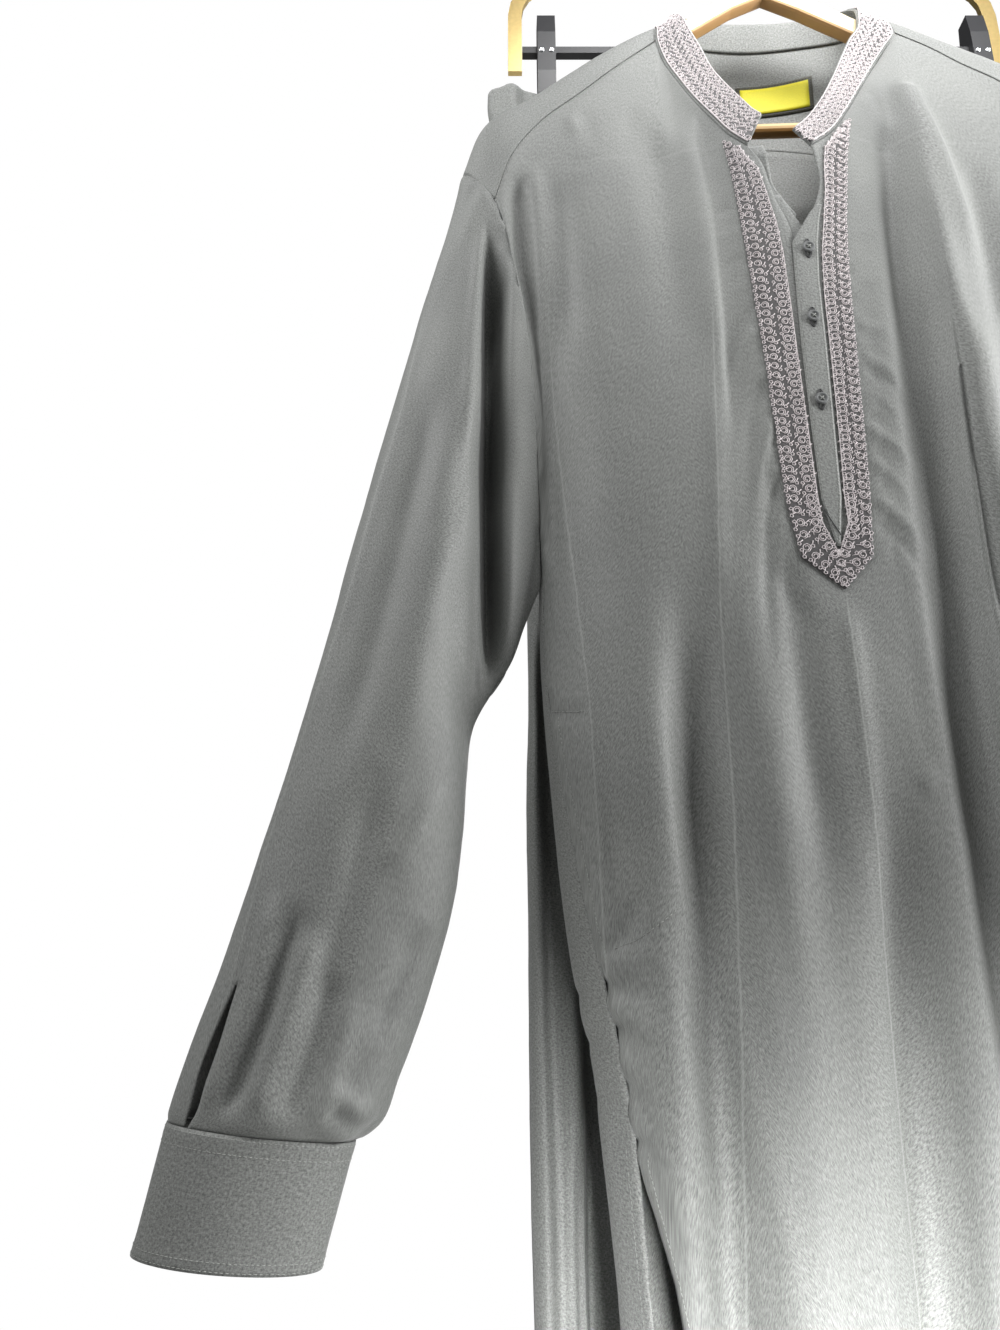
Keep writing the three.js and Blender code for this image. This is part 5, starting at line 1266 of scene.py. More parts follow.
# Painted highlights of the pressed lines, as pale lines: (x, z) points, half width in millimetres, strength
# and way.
FRONT_HIGHLIGHTS = [
    ([(-166, -380), *SIDE_PRESS, (-138, -900), (-136, -1000)], 0.9, 0.30, "down"),
    ([(-62, -400), *LEFT_PRESS, (-84, -1150), (-86, HEM_Z)], 0.9, 0.34, "down"),
    ([(1, -600), (1, -620), *MIDDLE_PRESS, (-2, -1150), (-3, HEM_Z)], 0.9, 0.42, "down"),
    ([(-172, -272), (-164, -274), (-140, -277), (-110, -277), (-81, -277), (-54, -274), (-44, -272)],
     2.2, 0.10, "across"),
    ([(40, -264), (50, -265), (64, -266), (84, -265), (101, -264), (130, -263), (160, -262)],
     2.2, 0.10, "across"),
]
BACK_HIGHLIGHTS = [
    ([(4, -205), (4, -260), (5, -500), (3, -800), (4, -1100), (4, HEM_Z)], 1.3, 0.35, "down"),
    ([(-150, -272), (-140, -276), (-60, -278), (60, -277), (140, -274), (150, -270)], 1.6, 0.22, "across"),
]
SLEEVE_HIGHLIGHTS = {
    "left": [([(-246, -380), *SLEEVE_PRESS["left"]], 1.0, 0.18, "down")],
    "right": [([(248, -330), *SLEEVE_PRESS["right"], (277, -866)], 1.2, 0.22, "down")],
}
CLOTH_COLOUR = (0.190, 0.196, 0.187)
cloth_material = woven("grey_cloth", CLOTH_COLOUR)
front_material = woven("grey_cloth_front", CLOTH_COLOUR, lines=FRONT_HIGHLIGHTS)
back_material = woven("grey_cloth_back", CLOTH_COLOUR, lines=BACK_HIGHLIGHTS)
sleeve_material = {
    side: woven("grey_cloth_sleeve_" + side, CLOTH_COLOUR, lines=lines)
    for side, lines in SLEEVE_HIGHLIGHTS.items()
}
# Near-black ground under the embroidery: painted shade for the grey cloth that lies in shadow between the
# threads.
shade_ground_material = woven("embroidery_ground_painted_shade", (0.070, 0.066, 0.067), 0.25, 0.05)
thread_material = woven("embroidery_thread", (0.62, 0.565, 0.57), 0.2, 0.4, 0.4, roughness=0.5, fine=2.0)
stitch_material = woven("sewing_thread", (0.30, 0.31, 0.29), 0.15, 0.3, 0.2, fine=2.0)
dark_thread_material = woven("dark_thread", (0.035, 0.036, 0.036), 0.2, 0.2, 0.2, fine=2.0)
label_material = woven("label_satin", (0.80, 0.72, 0.02), 0.08, 0.1, 0.12, fine=1.6)
label_border_material = woven("label_border", (0.07, 0.068, 0.05), 0.3, 0.1, 0.3, fine=1.6)
button_material = plain("button_resin", (0.13, 0.135, 0.135), 0.55, bump=0.03)
# The last colour of each wood is painted shade for the faces that turn downwards.
wood_material = grained("pale_wood", (0.90, 0.80, 0.56), (0.82, 0.66, 0.38), 0.42, (0.50, 0.26, 0.09))
rod_material = grained("brown_rod", (0.86, 0.62, 0.30), (0.74, 0.46, 0.18), 0.35, (0.48, 0.22, 0.05))
steel_material = plain("plated_wire", (0.62, 0.63, 0.64), 0.25, 1.0, (0.95, 1.03), 300.0, 0.02)
gold_material = plain("gold_metal", (0.80, 0.60, 0.26), 0.3, 1.0, (0.95, 1.04), 300.0, 0.02)
clip_material = plain("black_plastic", (0.014, 0.014, 0.016), 0.42, bump=0.08)

# ---- pieces ----
# Millimetres between the points of each fine grid, closer where a piece is small or near.
SPACING = {"front": 5.0, "back": 5.7, "yoke": 3.4, "left sleeve": 3.6, "right sleeve": 5.4,
           "cuff": 2.6, "collar": 3.0, "leg": 6.2, "waistband": 3.0}


def faces_front(cloth):
    """1 where the cloth faces forwards, down to 0 where it faces aside."""
    return np.clip(-1.5 * cloth.normals[..., 1] + 0.2, 0, 1)


def finish(obj, node=None):
    """Hangs a piece on the root, and hides the solid that it replaces, if one is given."""
    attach(obj, "root")
    if node:
        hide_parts(node)


def relief(cloth, seed, strength=1.0):
    """The cloth's slight unevenness between its creases."""
    p = cloth.points
    soft = 0.9 * unevenness(p, (50, 50, 110), seed)
    small = 0.35 * unevenness(p, (15, 15, 30), seed + 1)
    fine = 0.1 * unevenness(p, (6, 6, 8), seed + 2)
    return strength * (soft + small + fine)


def seam_ripple(cloth, sides, seed, strength=0.7, reach=9.0):
    """Small puckers along a sewn edge."""
    d = cloth.edge_distance(sides)
    return strength * np.exp(-(d / reach) ** 2) * unevenness(cloth.points, (7, 7, 7), seed)


def calm(cloth, sides, reach=14.0):
    """0 at the sewn edges and 1 away from them."""
    return smoothstep(rise(cloth.edge_distance(sides), 0, reach))


CREASE_CALM = 6.0


def creased(cloth, seed, creases, sewn, facing=1.0):
    """Unevenness and creases together, which die away at the sewn edges."""
    folds = crease_sum(cloth, creases) * facing * calm(cloth, sewn, CREASE_CALM)
    return relief(cloth, seed) * calm(cloth, sewn) + folds


# front panel
SEWN = ("left", "right", "top")
PLACKET_CUT_END = 7  # the coarse row at which the opening down the front ends
front_cloth = Cloth(front_grid, SPACING["front"], FRONTWARDS, splits=(5, 11, 12, 18),
                    keep=lambda i, j: j != LEFT_COLS - 1 or i >= PLACKET_CUT_END,
                    row_stretches=[(0, 9, 0.8)],
                    column_stretches=[(0, 3, 0.85), (3, 6, 1.15), (6, 17, 0.68), (17, 23, 1.15)])
front_x, front_z = front_cloth.points[..., 0], front_cloth.points[..., 2]
clear_of_placket = np.clip(rise(np.abs(front_x + 2), 16, 14) + rise(-front_z, 605, 20), 0, 1)
left_ticks = [(-28.6, z) for z in range(-340, -600, -17)]
right_ticks = [(24 - (z + 330) / 60, z) for z in range(-250, -590, -11)]
amount = creased(front_cloth, 1, FRONT_CREASES, SEWN)
amount += crease_sum(front_cloth, puckers(left_ticks, -11, 2, 0.7, 3.4))
amount += crease_sum(front_cloth, puckers(right_ticks, 9, 3, 0.6, 3.4))
amount *= clear_of_placket
amount += crease_sum(front_cloth, puckers(SEAM_PUCKERS, 14, 8, 3.0, 3.2))
amount += seam_ripple(front_cloth, ("left", "right"), 5) + seam_groove(front_cloth, SEWN)
amount += hem_fold(front_cloth, ("left", "right"), 8, 0.7, SLIT_TOP_Z)
amount += hem_fold(front_cloth, ("left", "right"), 7, 0.6, POCKET_TOP_Z, POCKET_END_Z)
amount += hem_fold(front_cloth, ("bottom",), 16, 0.7)
front_cloth.shift(amount)
finish(shell("cloth_front", front_cloth, CLOTH, front_material), "kameez_front")
front_face = Surface(front_cloth)

# back panel
back_cloth = Cloth(back_grid, SPACING["back"], outside(0, 1, 0))
back_puckers = puckers([(x - 4, z - 6) for x, z in SEAM_PUCKERS], -9, 6, 1.5, 3.4)
amount = creased(back_cloth, 11, BACK_CREASES, SEWN)
amount += crease_sum(back_cloth, back_puckers)
amount += seam_ripple(back_cloth, ("left", "right"), 15) + seam_groove(back_cloth, SEWN)
amount += hem_fold(back_cloth, ("left", "right"), 8, 0.7, SLIT_TOP_Z)
amount += hem_fold(back_cloth, ("bottom",), 16, 0.7)
back_cloth.shift(amount)
finish(shell("cloth_back", back_cloth, CLOTH, back_material), "kameez_back")


# yoke
def yoke_outward(points):
    """Outward for the yoke: forwards in front, up on top, and backwards behind."""
    direction = np.zeros_like(points)
    direction[:, 1] = np.where(points[:, 1] < -6, -1, 0.6)
    direction[:, 2] = np.where(points[:, 1] < 20, 1, 0)
    return direction


yoke_cloth = Cloth(yoke_grid, SPACING["yoke"], yoke_outward, splits=(5, 11),
                   keep=lambda i, j: i >= 2 or j < 5 or j >= 11)
yoke_cloth.shift(0.5 * relief(yoke_cloth, 61) * calm(yoke_cloth, ("left", "right", "top", "bottom"))
                 + 0.7 * seam_groove(yoke_cloth, ("left", "right", "bottom")))
finish(shell("cloth_yoke", yoke_cloth, CLOTH, cloth_material), "yoke")


# sleeves and cuffs
def open_slit(tube, row, column, gape):
    """Draws the two edges of the sleeve's slit apart, most in its middle."""
    low = np.clip((tube.row - row) / (len(SLEEVE["left"]) - 1 - row), 0, 1)
    spread = gape * np.sin(math.pi * low ** 0.8) * (tube.row > row)
    place = tube.u - tube.u[:, [int(np.argmin(np.abs(tube.col - column - 0.5)))]]
    pull = np.sign(place) * np.exp(-np.abs(place) / 14) * spread[:, None] / 2
    along = np.roll(tube.points, -1, axis=1) - np.roll(tube.points, 1, axis=1)
    along /= np.maximum(np.linalg.norm(along, axis=2, keepdims=True), 1e-6)
    tube.points = tube.points + along * pull[..., None]
    tube.normals = tube.find_normals()


PLEATS = {"count": 9, "height": 1.7, "reach": 42}


def cuff_gathers(tube, seed):
    """Uneven small pleats that fade upwards from the cuff's seam."""
    around = tube.u / np.maximum(tube.u[:, -1:] - tube.u[:, :1], 1e-6) + 0.5
    up = (tube.v[-1:] - tube.v) / PLEATS["reach"]
    wave = np.cos(2 * math.pi * (PLEATS["count"] * around + 0.9 * np.sin(5.3 * around + seed)))
    uneven = 0.65 + 0.45 * np.sin(9.1 * around + 2 * seed)
    return PLEATS["height"] * wave * uneven * np.exp(-up ** 1.5) * rise(up * PLEATS["reach"], 0, 4)


cuff_cloth = {}
for side, creases, recess, area, seed in (
    ("left", LEFT_SLEEVE_CREASES, LEFT_RECESS, 0.155, 21),
    ("right", RIGHT_SLEEVE_CREASES, RIGHT_RECESS, 0.13, 31),
):
    slit_row, slit_column = SLEEVE_SLIT["row"], SLEEVE_SLIT["column"]
    tube = Cloth(sleeve[side], SPACING[side + " sleeve"], tube_outward, wrap=True,
                 keep=lambda i, j: i < slit_row or j != slit_column)
    in_front = faces_front(tube)
    amount = creased(tube, seed, creases, ("top", "bottom"), in_front) + cuff_gathers(tube, seed)
    amount += seam_ripple(tube, ("top",), seed + 5, 0.9, 12.0) + seam_groove(tube, ("top", "bottom"))
    depth = crease_sum(tube, recess) * in_front
    tube.shift(amount)
    tube.points[..., 1] += depth
    open_slit(tube, slit_row, slit_column, 4.0)
    finish(shell("cloth_sleeve_" + side, tube, CLOTH, sleeve_material[side]), "sleeve_" + side)
    band = Cloth(cuff[side], SPACING["cuff"], tube_outward, wrap=True)
    band.shift(0.45 * relief(band, seed + 3) * calm(band, ("top",), 8)
               + 0.7 * seam_groove(band, ("top",)) + hem_fold(band, ("top", "bottom"), 6, 0.25))
    cuff_cloth[side] = band
    finish(shell("cloth_cuff_" + side, band, CUFF_CLOTH, cloth_material), "cuff_" + side)


# collar
from_neck = away_from((6, 0), (1, 1.5))
collar_cloth = Cloth(collar_grid, SPACING["collar"], from_neck)
finish(shell("cloth_collar", collar_cloth, 2.0, cloth_material), "collar_band")

# shalwar
LEG_RECESSES = [
    (19, 15, (0.2, 0.15), [(-162, -1130), (-163, -960), (-166, -800), (-168, -560)], STEP),
    (13, 10, (0.1, 0.3), [(-149, -1140), (-149, -1000), (-149, -890)], STEP),
    (12, 13, (0.15, 0.2), [(196, -600), (198, -800), (198, -1000)], STEP),
]
LEG_HALF_WIDTH = 105
LEG_GATHERS = {"count": 27, "height": 2.6, "reach": 120, "around": 480.0}
WAIST_GATHERS = {"height": 1.5, "pitch": 15.5}
CLIP_X = 187  # from the middle of the waist to the middle of each clip


def leg_gathers(tube, seed):
    """Gathers that spread down from the waistband."""
    around = tube.u / LEG_GATHERS["around"]
    wave = np.cos(2 * math.pi * (LEG_GATHERS["count"] * around + 0.8 * np.sin(11 * around + seed)))
    return LEG_GATHERS["height"] * wave * np.exp(-tube.v / LEG_GATHERS["reach"]) * rise(tube.v, 0, 6)


for side, way, seed in (("left", -1, 41), ("right", 1, 51)):
    leg_outward = away_from((SHALWAR_X + way * LEG_HALF_WIDTH, SHALWAR_Y + 3), (1 / LEG_HALF_WIDTH, 1 / 12))
    tube = Cloth(leg[side], SPACING["leg"], leg_outward, wrap=True,
                 keep=lambda i, j: j < len(LEG) - 1 or i >= CROTCH_ROW)
    tube.shift(relief(tube, seed, 1.3) * calm(tube, ("top",)) + leg_gathers(tube, seed))
    tube.points[..., 1] += crease_sum(tube, LEG_RECESSES) * faces_front(tube)
    tube.normals = tube.find_normals()
    finish(shell("cloth_leg_" + side, tube, CLOTH, cloth_material), "shalwar_leg_" + side)

waist_outward = away_from((SHALWAR_X, SHALWAR_Y), (1 / 240, 1 / 14))
waist_cloth = Cloth(waist_grid, SPACING["waistband"], waist_outward, wrap=True)
pleats = waist_cloth.u / WAIST_GATHERS["pitch"]
waist_wave = np.cos(2 * math.pi * (pleats + 0.7 * np.sin(pleats / 2)))
from_clips = np.abs(np.abs(waist_cloth.points[..., 0] - SHALWAR_X) - CLIP_X)
uneven = 0.6 + 0.4 * unevenness(waist_cloth.points, 30, 77)
waist_cloth.shift(WAIST_GATHERS["height"] * waist_wave * rise(from_clips, 10, 8) * uneven)
finish(shell("cloth_waistband", waist_cloth, CLOTH, cloth_material), "shalwar_waistband")


# ---- placket and neck ----
def strip_rows(table):
    """Rows of z, left, right and zRight, which is z where a row has no slope of its own."""
    names = ("z", "left", "right", "zRight")
    return [dict(zip(names, row if len(row) == 4 else (*row, row[0]))) for row in table]


OVERLAP = strip_rows([
    (-331, 12, 14.5), (-338, 6, 13), (-345, 2, 11.5), (-362, -7.5, 9), (-392, -8.3, 7), (-440, -9, 6.6),
    (-500, -8.6, 5.4), (-547, -7.4, 4.4), (-578, -1.5, 0.5),
])
UNDERLAP = strip_rows([
    (-322, -20, -11), (-338, -19, -4), (-362, -17, 9), (-440, -15, 10), (-530, -14, 10), (-572, -13, 9),
])
# Embroidered border: down the left side, round the point under the placket, up the right.
EMBROIDERY = strip_rows([
    (-271, -45, -34.5, -283), (-286, -43, -31, -291), (-300, -41.5, -24.5), (-320, -40, -20.5),
    (-345, -38.5, -16), (-369, -37, -13.7), (-404, -35, -12.6), (-454, -32.3, -11.6),
    (-510, -30.4, -10.2), (-547, -28.6, -9.2), (-585, -23, -8.2, -562), (-605, 0.5, -0.6, -583),
    (-585, 19, 6.8, -562), (-547, 21.6, 6.2), (-510, 23, 7.4), (-454, 24.8, 8.4), (-404, 26.6, 9),
    (-369, 28.6, 11), (-345, 30.4, 14.5), (-320, 33.6, 18), (-298, 36.6, 19.5),
    (-280, 39.2, 22, -282), (-262, 42.5, 28.5, -272), (-248, 45.5, 33.5, -265),
])
# The facing turned out at the left of the neck: its flap, and its long lit edge below.
FACING = strip_rows([
    (-281, -32, -19.5), (-288, -32, -18.6), (-297, -31.5, -17.2), (-303, -30.5, -16.2),
    (-308, -28.5, -15.6), (-316, -25, -12.6), (-326, -21, -7.2), (-335.5, -18.5, -1.4),
    (-346, -16.5, -3.6), (-358, -14.5, -9.9),
])
NO_REFINE = 50.0  # a spacing wider than any step of a grid that is fine already


def strip_cloth(table, columns, lift, spacing=STRIP_STEP):
    """A strip laid on the front, or behind it where its lift is negative."""
    return Cloth(laid_grid(front_face, table, columns, lift, spacing), NO_REFINE, FRONTWARDS)


overlap_cloth = strip_cloth(OVERLAP, 8, LAY_GAP + 0.9)
overlap_cloth.shift(0.25 * unevenness(overlap_cloth.points, (9, 9, 16), 91))
finish(shell("cloth_overlap", overlap_cloth, CLOTH, cloth_material), "placket_overlap")
underlap_cloth = strip_cloth(UNDERLAP, 9, -(CLOTH + LAY_GAP))
finish(shell("cloth_underlap", underlap_cloth, CLOTH, cloth_material), "placket_underlap")
facing_cloth = strip_cloth(FACING, 7, -(CLOTH + 0.5), 2.0)
turned_out = np.linspace(0, 1, facing_cloth.points.shape[1])[None, :]
facing_rise = np.clip(1 - np.abs(facing_cloth.row / facing_cloth.row[-1] - 0.12) / 0.3, 0, 1)[:, None]
facing_cloth.shift(3.2 * facing_rise * turned_out ** 1.5 - 2.0 * (1 - facing_rise) * turned_out)
finish(shell("cloth_facing", facing_cloth, 0.7, cloth_material))

BAG_Z = (-682, -712, -742, -772, -796)
BAG_FOOT_SLOPE = 14
for side, way, far in (("left", 1, -98), ("right", -1, 122)):
    bag_rows = [(z, read(SIDE[side], "seam", z) + way * 9, far, z) for z in BAG_Z]
    bag_rows[-1] = (*bag_rows[-1][:3], BAG_Z[-1] + BAG_FOOT_SLOPE)
    bag = strip_cloth(strip_rows(bag_rows), 14, -(CLOTH + 0.9), 6.0)
    bag.shift(0.25 * unevenness(bag.points, (12, 12, 12), 95))
    finish(shell("cloth_pocket_" + side, bag, CLOTH, cloth_material), "pocket_bag_" + side)

# ---- embroidery ----
draw = random.Random(7)
MOTIF_PITCH = 6.5
THREAD_WIDTH = 0.62
THREAD_HEIGHT = 0.36


def curl(outer, inner, turns, points):
    """A thread that winds in from a ring to its middle."""
    t = np.linspace(0, 1, points)
    radius = lerp(outer, inner, t ** 1.3)
    angle = 2 * math.pi * turns * t
    return np.stack([radius * np.cos(angle), radius * np.sin(angle)], 1)


RING = curl(2.7, 0.9, 1.7, 15)
HOOK = np.concatenate([[(3.0, -0.9)], curl(1.35, 0.7, 1.0, 6)])
# Rows across a band: share of its width, motif, share of a pitch that it is set on by, and its turn.
BORDER_ROWS = [
    (0.07, HOOK, 0.0, 0.3), (0.06, HOOK, 0.5, 2.6), (0.25, RING, 0.25, 0.0), (0.415, HOOK, 0.7, 3.0),
    (0.585, HOOK, 0.7, 0.2), (0.75, RING, 0.25, 2.0), (0.92, HOOK, 0.5, 0.5), (0.92, HOOK, 0.0, 2.8),
]
COLLAR_ROWS = [
    (0.10, RING, 0.0, 0.0), (0.23, HOOK, 0.5, 0.4), (0.36, RING, 0.25, 2.0), (0.50, HOOK, 0.75, 2.8),
    (0.64, RING, 0.0, 4.0), (0.77, HOOK, 0.5, 0.2), (0.90, RING, 0.25, 1.0),
    (0.11, HOOK, 0.5, 2.4), (0.36, HOOK, 0.75, 0.6), (0.64, HOOK, 0.5, 3.0), (0.89, HOOK, 0.75, 0.4),
]


class Band:
    """A long grid with its places by length along it and share across it."""

    def __init__(self, points, outward):
        self.points = points
        middle = points[:, points.shape[1] // 2]
        self.place = np.concatenate([[0], np.cumsum(np.linalg.norm(np.diff(middle, axis=0), axis=1))])
        self.length = self.place[-1]
        self.outward = outward

    def at(self, s, share):
        """The point there, and its directions along, across and out."""
        s = min(max(s, 0.01), self.length - 0.01)
        k = int(np.searchsorted(self.place, s)) - 1
        t = (s - self.place[k]) / (self.place[k + 1] - self.place[k])
        column = share * (self.points.shape[1] - 1)
        c = min(int(column), self.points.shape[1] - 2)
        f = column - c
        p = self.points
        low, high = lerp(p[k, c], p[k, c + 1], f), lerp(p[k + 1, c], p[k + 1, c + 1], f)
        across = lerp(p[k, c + 1] - p[k, c], p[k + 1, c + 1] - p[k + 1, c], t)
        along = (high - low) / max(np.linalg.norm(high - low), 1e-9)
        point, out = lerp(low, high, t), np.cross(along, across)
        way = -1.0 if np.dot(out, self.outward(point[None])[0]) < 0 else 1.0
        out *= way / max(np.linalg.norm(out), 1e-9)
        return point, along, np.cross(out, along), out


def sew_motif(threads, frame_at, shape, turn, size):
    """One motif at a point and its directions, turned about it and scaled."""
    point, along, across, out = frame_at
    ca, sa = math.cos(turn) * size, math.sin(turn) * size
    path = [point + along * (a * ca - b * sa) + across * (a * sa + b * ca) for a, b in shape]
    threads.run(path, [out] * len(path), THREAD_WIDTH, THREAD_HEIGHT)


def embroider(threads, band, rows_across):
    """Columns of wound rings with hooks between them and along the edges."""
    count = int(band.length / MOTIF_PITCH)
    pitch = band.length / count
    for k in range(count):
        for share, shape, step, turn in rows_across:
            s = (k + step + 0.25) * pitch + draw.uniform(-0.25, 0.25)
            frame_at = band.at(s, share + draw.uniform(-0.01, 0.01))
            own_turn = turn + draw.uniform(-0.35, 0.35)
            sew_motif(threads, frame_at, shape, own_turn, draw.uniform(0.93, 1.06))


def sew_border(threads, band, share, width, height):
    """One thread along a band, at a share of its width."""
    frames = [band.at(s, share) for s in np.arange(1, band.length - 1, 1.6)]
    threads.run([f[0] for f in frames], [f[3] for f in frames], width, height)


# The sheet under the border's threads carries that painted shade.
placket_ground = strip_cloth(EMBROIDERY, 11, LAY_GAP + 0.55, 2.4)
finish(shell("embroidered_border", placket_ground, 0.5, shade_ground_material), "placket_embroidery")
border_threads = Threads()
border_band = Band(placket_ground.points, FRONTWARDS)
embroider(border_threads, border_band, BORDER_ROWS)
sew_border(border_threads, border_band, 0.985, 0.5, THREAD_HEIGHT)
finish(border_threads.mesh("border_threads", thread_material))

COLLAR_LAY = 0.95  # height of the embroidered strip above the collar


def collar_rows(low, high, count, lift):
    """The collar's outer face between two shares of its height, as rows along the band."""
    place = collar_cloth.v[-1]
    shares = np.linspace(low, high, count)
    grid = []
    for k in range(collar_cloth.points.shape[1]):
        line = collar_cloth.points[:, k] + collar_cloth.normals[:, k] * lift
        v = collar_cloth.v[:, k] / max(place[k], 1e-6)
        grid.append([[np.interp(s, v, line[:, c]) for c in range(3)] for s in shares])
    return np.array(grid)


# The sheet under the collar's threads carries the same painted shade.
collar_ground = Cloth(collar_rows(0.07, 0.95, 9, COLLAR_LAY), NO_REFINE, from_neck)
finish(shell("embroidered_collar", collar_ground, 0.5, shade_ground_material), "collar_embroidery")
collar_threads = Threads()
collar_band = Band(collar_ground.points, from_neck)
embroider(collar_threads, collar_band, COLLAR_ROWS)
for share in (0.0, 1.0):
    sew_border(collar_threads, collar_band, share, 0.9, 0.5)
finish(collar_threads.mesh("collar_threads", thread_material))

# ---- seams and stitches ----
seams = Threads()


def sew_edge(cloth, side, inset, low=0.0, high=1.0, **looks):
    """Stitches at a distance in from an edge, between two shares of its length."""
    seams.stitches(*inset_path(cloth, side, inset, low, high), **looks)


def sew_on_front(line, spacing=2.0, lift=0.1, **looks):
    """Stitches along (x, z) points on the front."""
    path, normals = [], []
    for a, b in zip(line, line[1:]):
        steps = max(1, int(math.dist(a, b) / spacing))
        for s in range(steps):
            x, z = mix(a, b, s / steps)
            point, normal = front_face.at(x, z)
            if point is not None:
                path.append(point + normal * lift)
                normals.append(normal)
    if len(path) > 2:
        seams.stitches(path, normals, **looks)


for cloth in (front_cloth, back_cloth):
    sew_edge(cloth, "bottom", 15)
    for side in ("left", "right"):
        sew_edge(cloth, side, 7, share_at(cloth, side, SLIT_TOP_Z), 1.0)
for side in ("left", "right"):
    sew_edge(front_cloth, side, 6, share_at(front_cloth, side, POCKET_TOP_Z),
             share_at(front_cloth, side, POCKET_END_Z))
for mouth in ([(-171, -668), (-158, -671), (-147, -673)], [(177, -668), (166, -671), (154, -673)]):
    sew_on_front(mouth)
for foot in ([(-136, -802), (-125, -798), (-112, -789), (-99, -779)],
             [(168, -802), (156, -798), (142, -789), (124, -779)]):
    sew_on_front(foot, pitch=3.0)
BAR_TACK_ROWS = 5
for k in range(BAR_TACK_ROWS):  # bar tacks at the slits
    z = SLIT_TOP_Z + 2 - 1.4 * k
    for x in (-128, 172):
        sew_on_front([(x - 4, z), (x + 6, z)], length=2.6, pitch=3.0)
CUFF_SEAMS = [("top", 1.8, 0.55), ("top", 8.5, 0.5), ("bottom", 5, 0.5), ("bottom", 1.2, 0.5)]
for band in cuff_cloth.values():
    for side, inset, width in CUFF_SEAMS:
        sew_edge(band, side, inset, width=width)
for low, high in ((0.0, 0.24), (0.72, 1.0)):  # the yoke's seam, on both sides of the neck
    sew_edge(front_cloth, "top", 2.2, low, high, width=0.4)
sew_edge(yoke_cloth, "bottom", 2.2, width=0.4)
sew_edge(overlap_cloth, "right", 1.0, pitch=2.2, width=0.55)
sew_edge(overlap_cloth, "left", 1.2, pitch=2.2, width=0.35)
sew_edge(facing_cloth, "right", 1.4, width=0.45, pitch=2.4)
finish(seams.mesh("seam_stitches", stitch_material))

# Dark thread: the buttonholes and the slanting tack at the placket's foot.
dark = Threads()
BUTTON_PLACES = {"button_top": (2, -367), "button_middle": (0, -420), "button_lower": (-1, -480)}
BUTTONHOLE = {"half": 7.2, "across": 2.3}
HOLE_TURNS = np.linspace(0, 2 * math.pi, 25)[:-1]
TACK = [(-7.5, -553), (1.5, -571)]
PLACKET_PROUD = 1.4  # how far the placket stands in front of the flat front
overlap_face = Surface(overlap_cloth)


def run_on_overlap(places, lift, width, height, closed=False):
    """A dark thread through (x, z) places on the placket."""
    spots = [overlap_face.over(x, z, lift, PLACKET_PROUD) for x, z in places]
    dark.run([p for p, _ in spots], [n for _, n in spots], width, height, closed)


for x, z in BUTTON_PLACES.values():
    for ring_share in (1.0, 0.72):
        across = BUTTONHOLE["across"] * ring_share
        half = BUTTONHOLE["half"] * ring_share ** 0.5
        ring = [(x + across * math.sin(a), z + half * math.cos(a)) for a in HOLE_TURNS]
        run_on_overlap(ring, 0.12, 0.95, 0.4, closed=True)
tack = [mix(TACK[0], TACK[1], t) for t in np.linspace(0, 1, 9)]
run_on_overlap(tack, 0.15, 0.8, 0.3)
finish(dark.mesh("buttonhole_threads", dark_thread_material))


def turned(profile, sides):
    """A closed solid turned round Z from (radius, height) points that start and end at radius 0."""
    verts, faces = [(0, 0, profile[0][1])], []
    inner = profile[1:-1]
    for r, h in inner:
        verts += [(r * math.cos(2 * math.pi * k / sides), r * math.sin(2 * math.pi * k / sides), h)
                  for k in range(sides)]
    verts.append((0, 0, profile[-1][1]))
    for k in range(sides):
        m = (k + 1) % sides
        faces.append((0, 1 + m, 1 + k))
        for n in range(len(inner) - 1):
            a, b = 1 + n * sides, 1 + (n + 1) * sides
            faces.append((a + k, a + m, b + m, b + k))
        last = 1 + (len(inner) - 1) * sides
        faces.append((last + k, last + m, len(verts) - 1))
    return verts, faces


BUTTON_PROFILE = [(0, -0.9), (2.6, -0.9), (3.7, -0.6), (4.0, 0.0), (3.9, 0.55), (3.4, 0.9), (2.8, 0.85),
                  (2.3, 0.35), (1.2, 0.25), (0, 0.25)]


def solid_mesh(name, verts, faces, material):
    """A smooth-shaded object from points in millimetres and faces."""
    mesh = bpy.data.meshes.new(name)
    mesh.from_pydata([[c * MM for c in v] for v in verts], [], faces)
    mesh.polygons.foreach_set("use_smooth", [True] * len(mesh.polygons))
    return add_object(name, mesh, material)


button_threads = Threads()
for name in BUTTON_PLACES:
    low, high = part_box(name)
    middle = [(a + b) / 2 / MM for a, b in zip(low, high)]
    verts, faces = turned(BUTTON_PROFILE, 28)
    verts = [(middle[0] + vx, middle[1] - vz, middle[2] + vy) for vx, vy, vz in verts]
    finish(solid_mesh("shirt_" + name, verts, faces, button_material), name)
    for way in (-1, 1):
        ends = [(-1.3 * way, -1.3), (-0.5 * way, -0.5), (0.5 * way, 0.5), (1.3 * way, 1.3)]
        lifts = (0.2, 0.55, 0.55, 0.2)
        path = [[middle[0] + a, middle[1] - h - 0.2, middle[2] + b] for (a, b), h in zip(ends, lifts)]
        button_threads.run(path, [[0, -1, 0]] * 4, 0.55, 0.3)
finish(button_threads.mesh("button_threads", stitch_material))

# ---- label ----
LABEL = {"x": 22, "z": -147, "width": 60, "height": 31, "slope": 0.1, "border": 3.2}
yoke_inside = Surface(yoke_cloth)


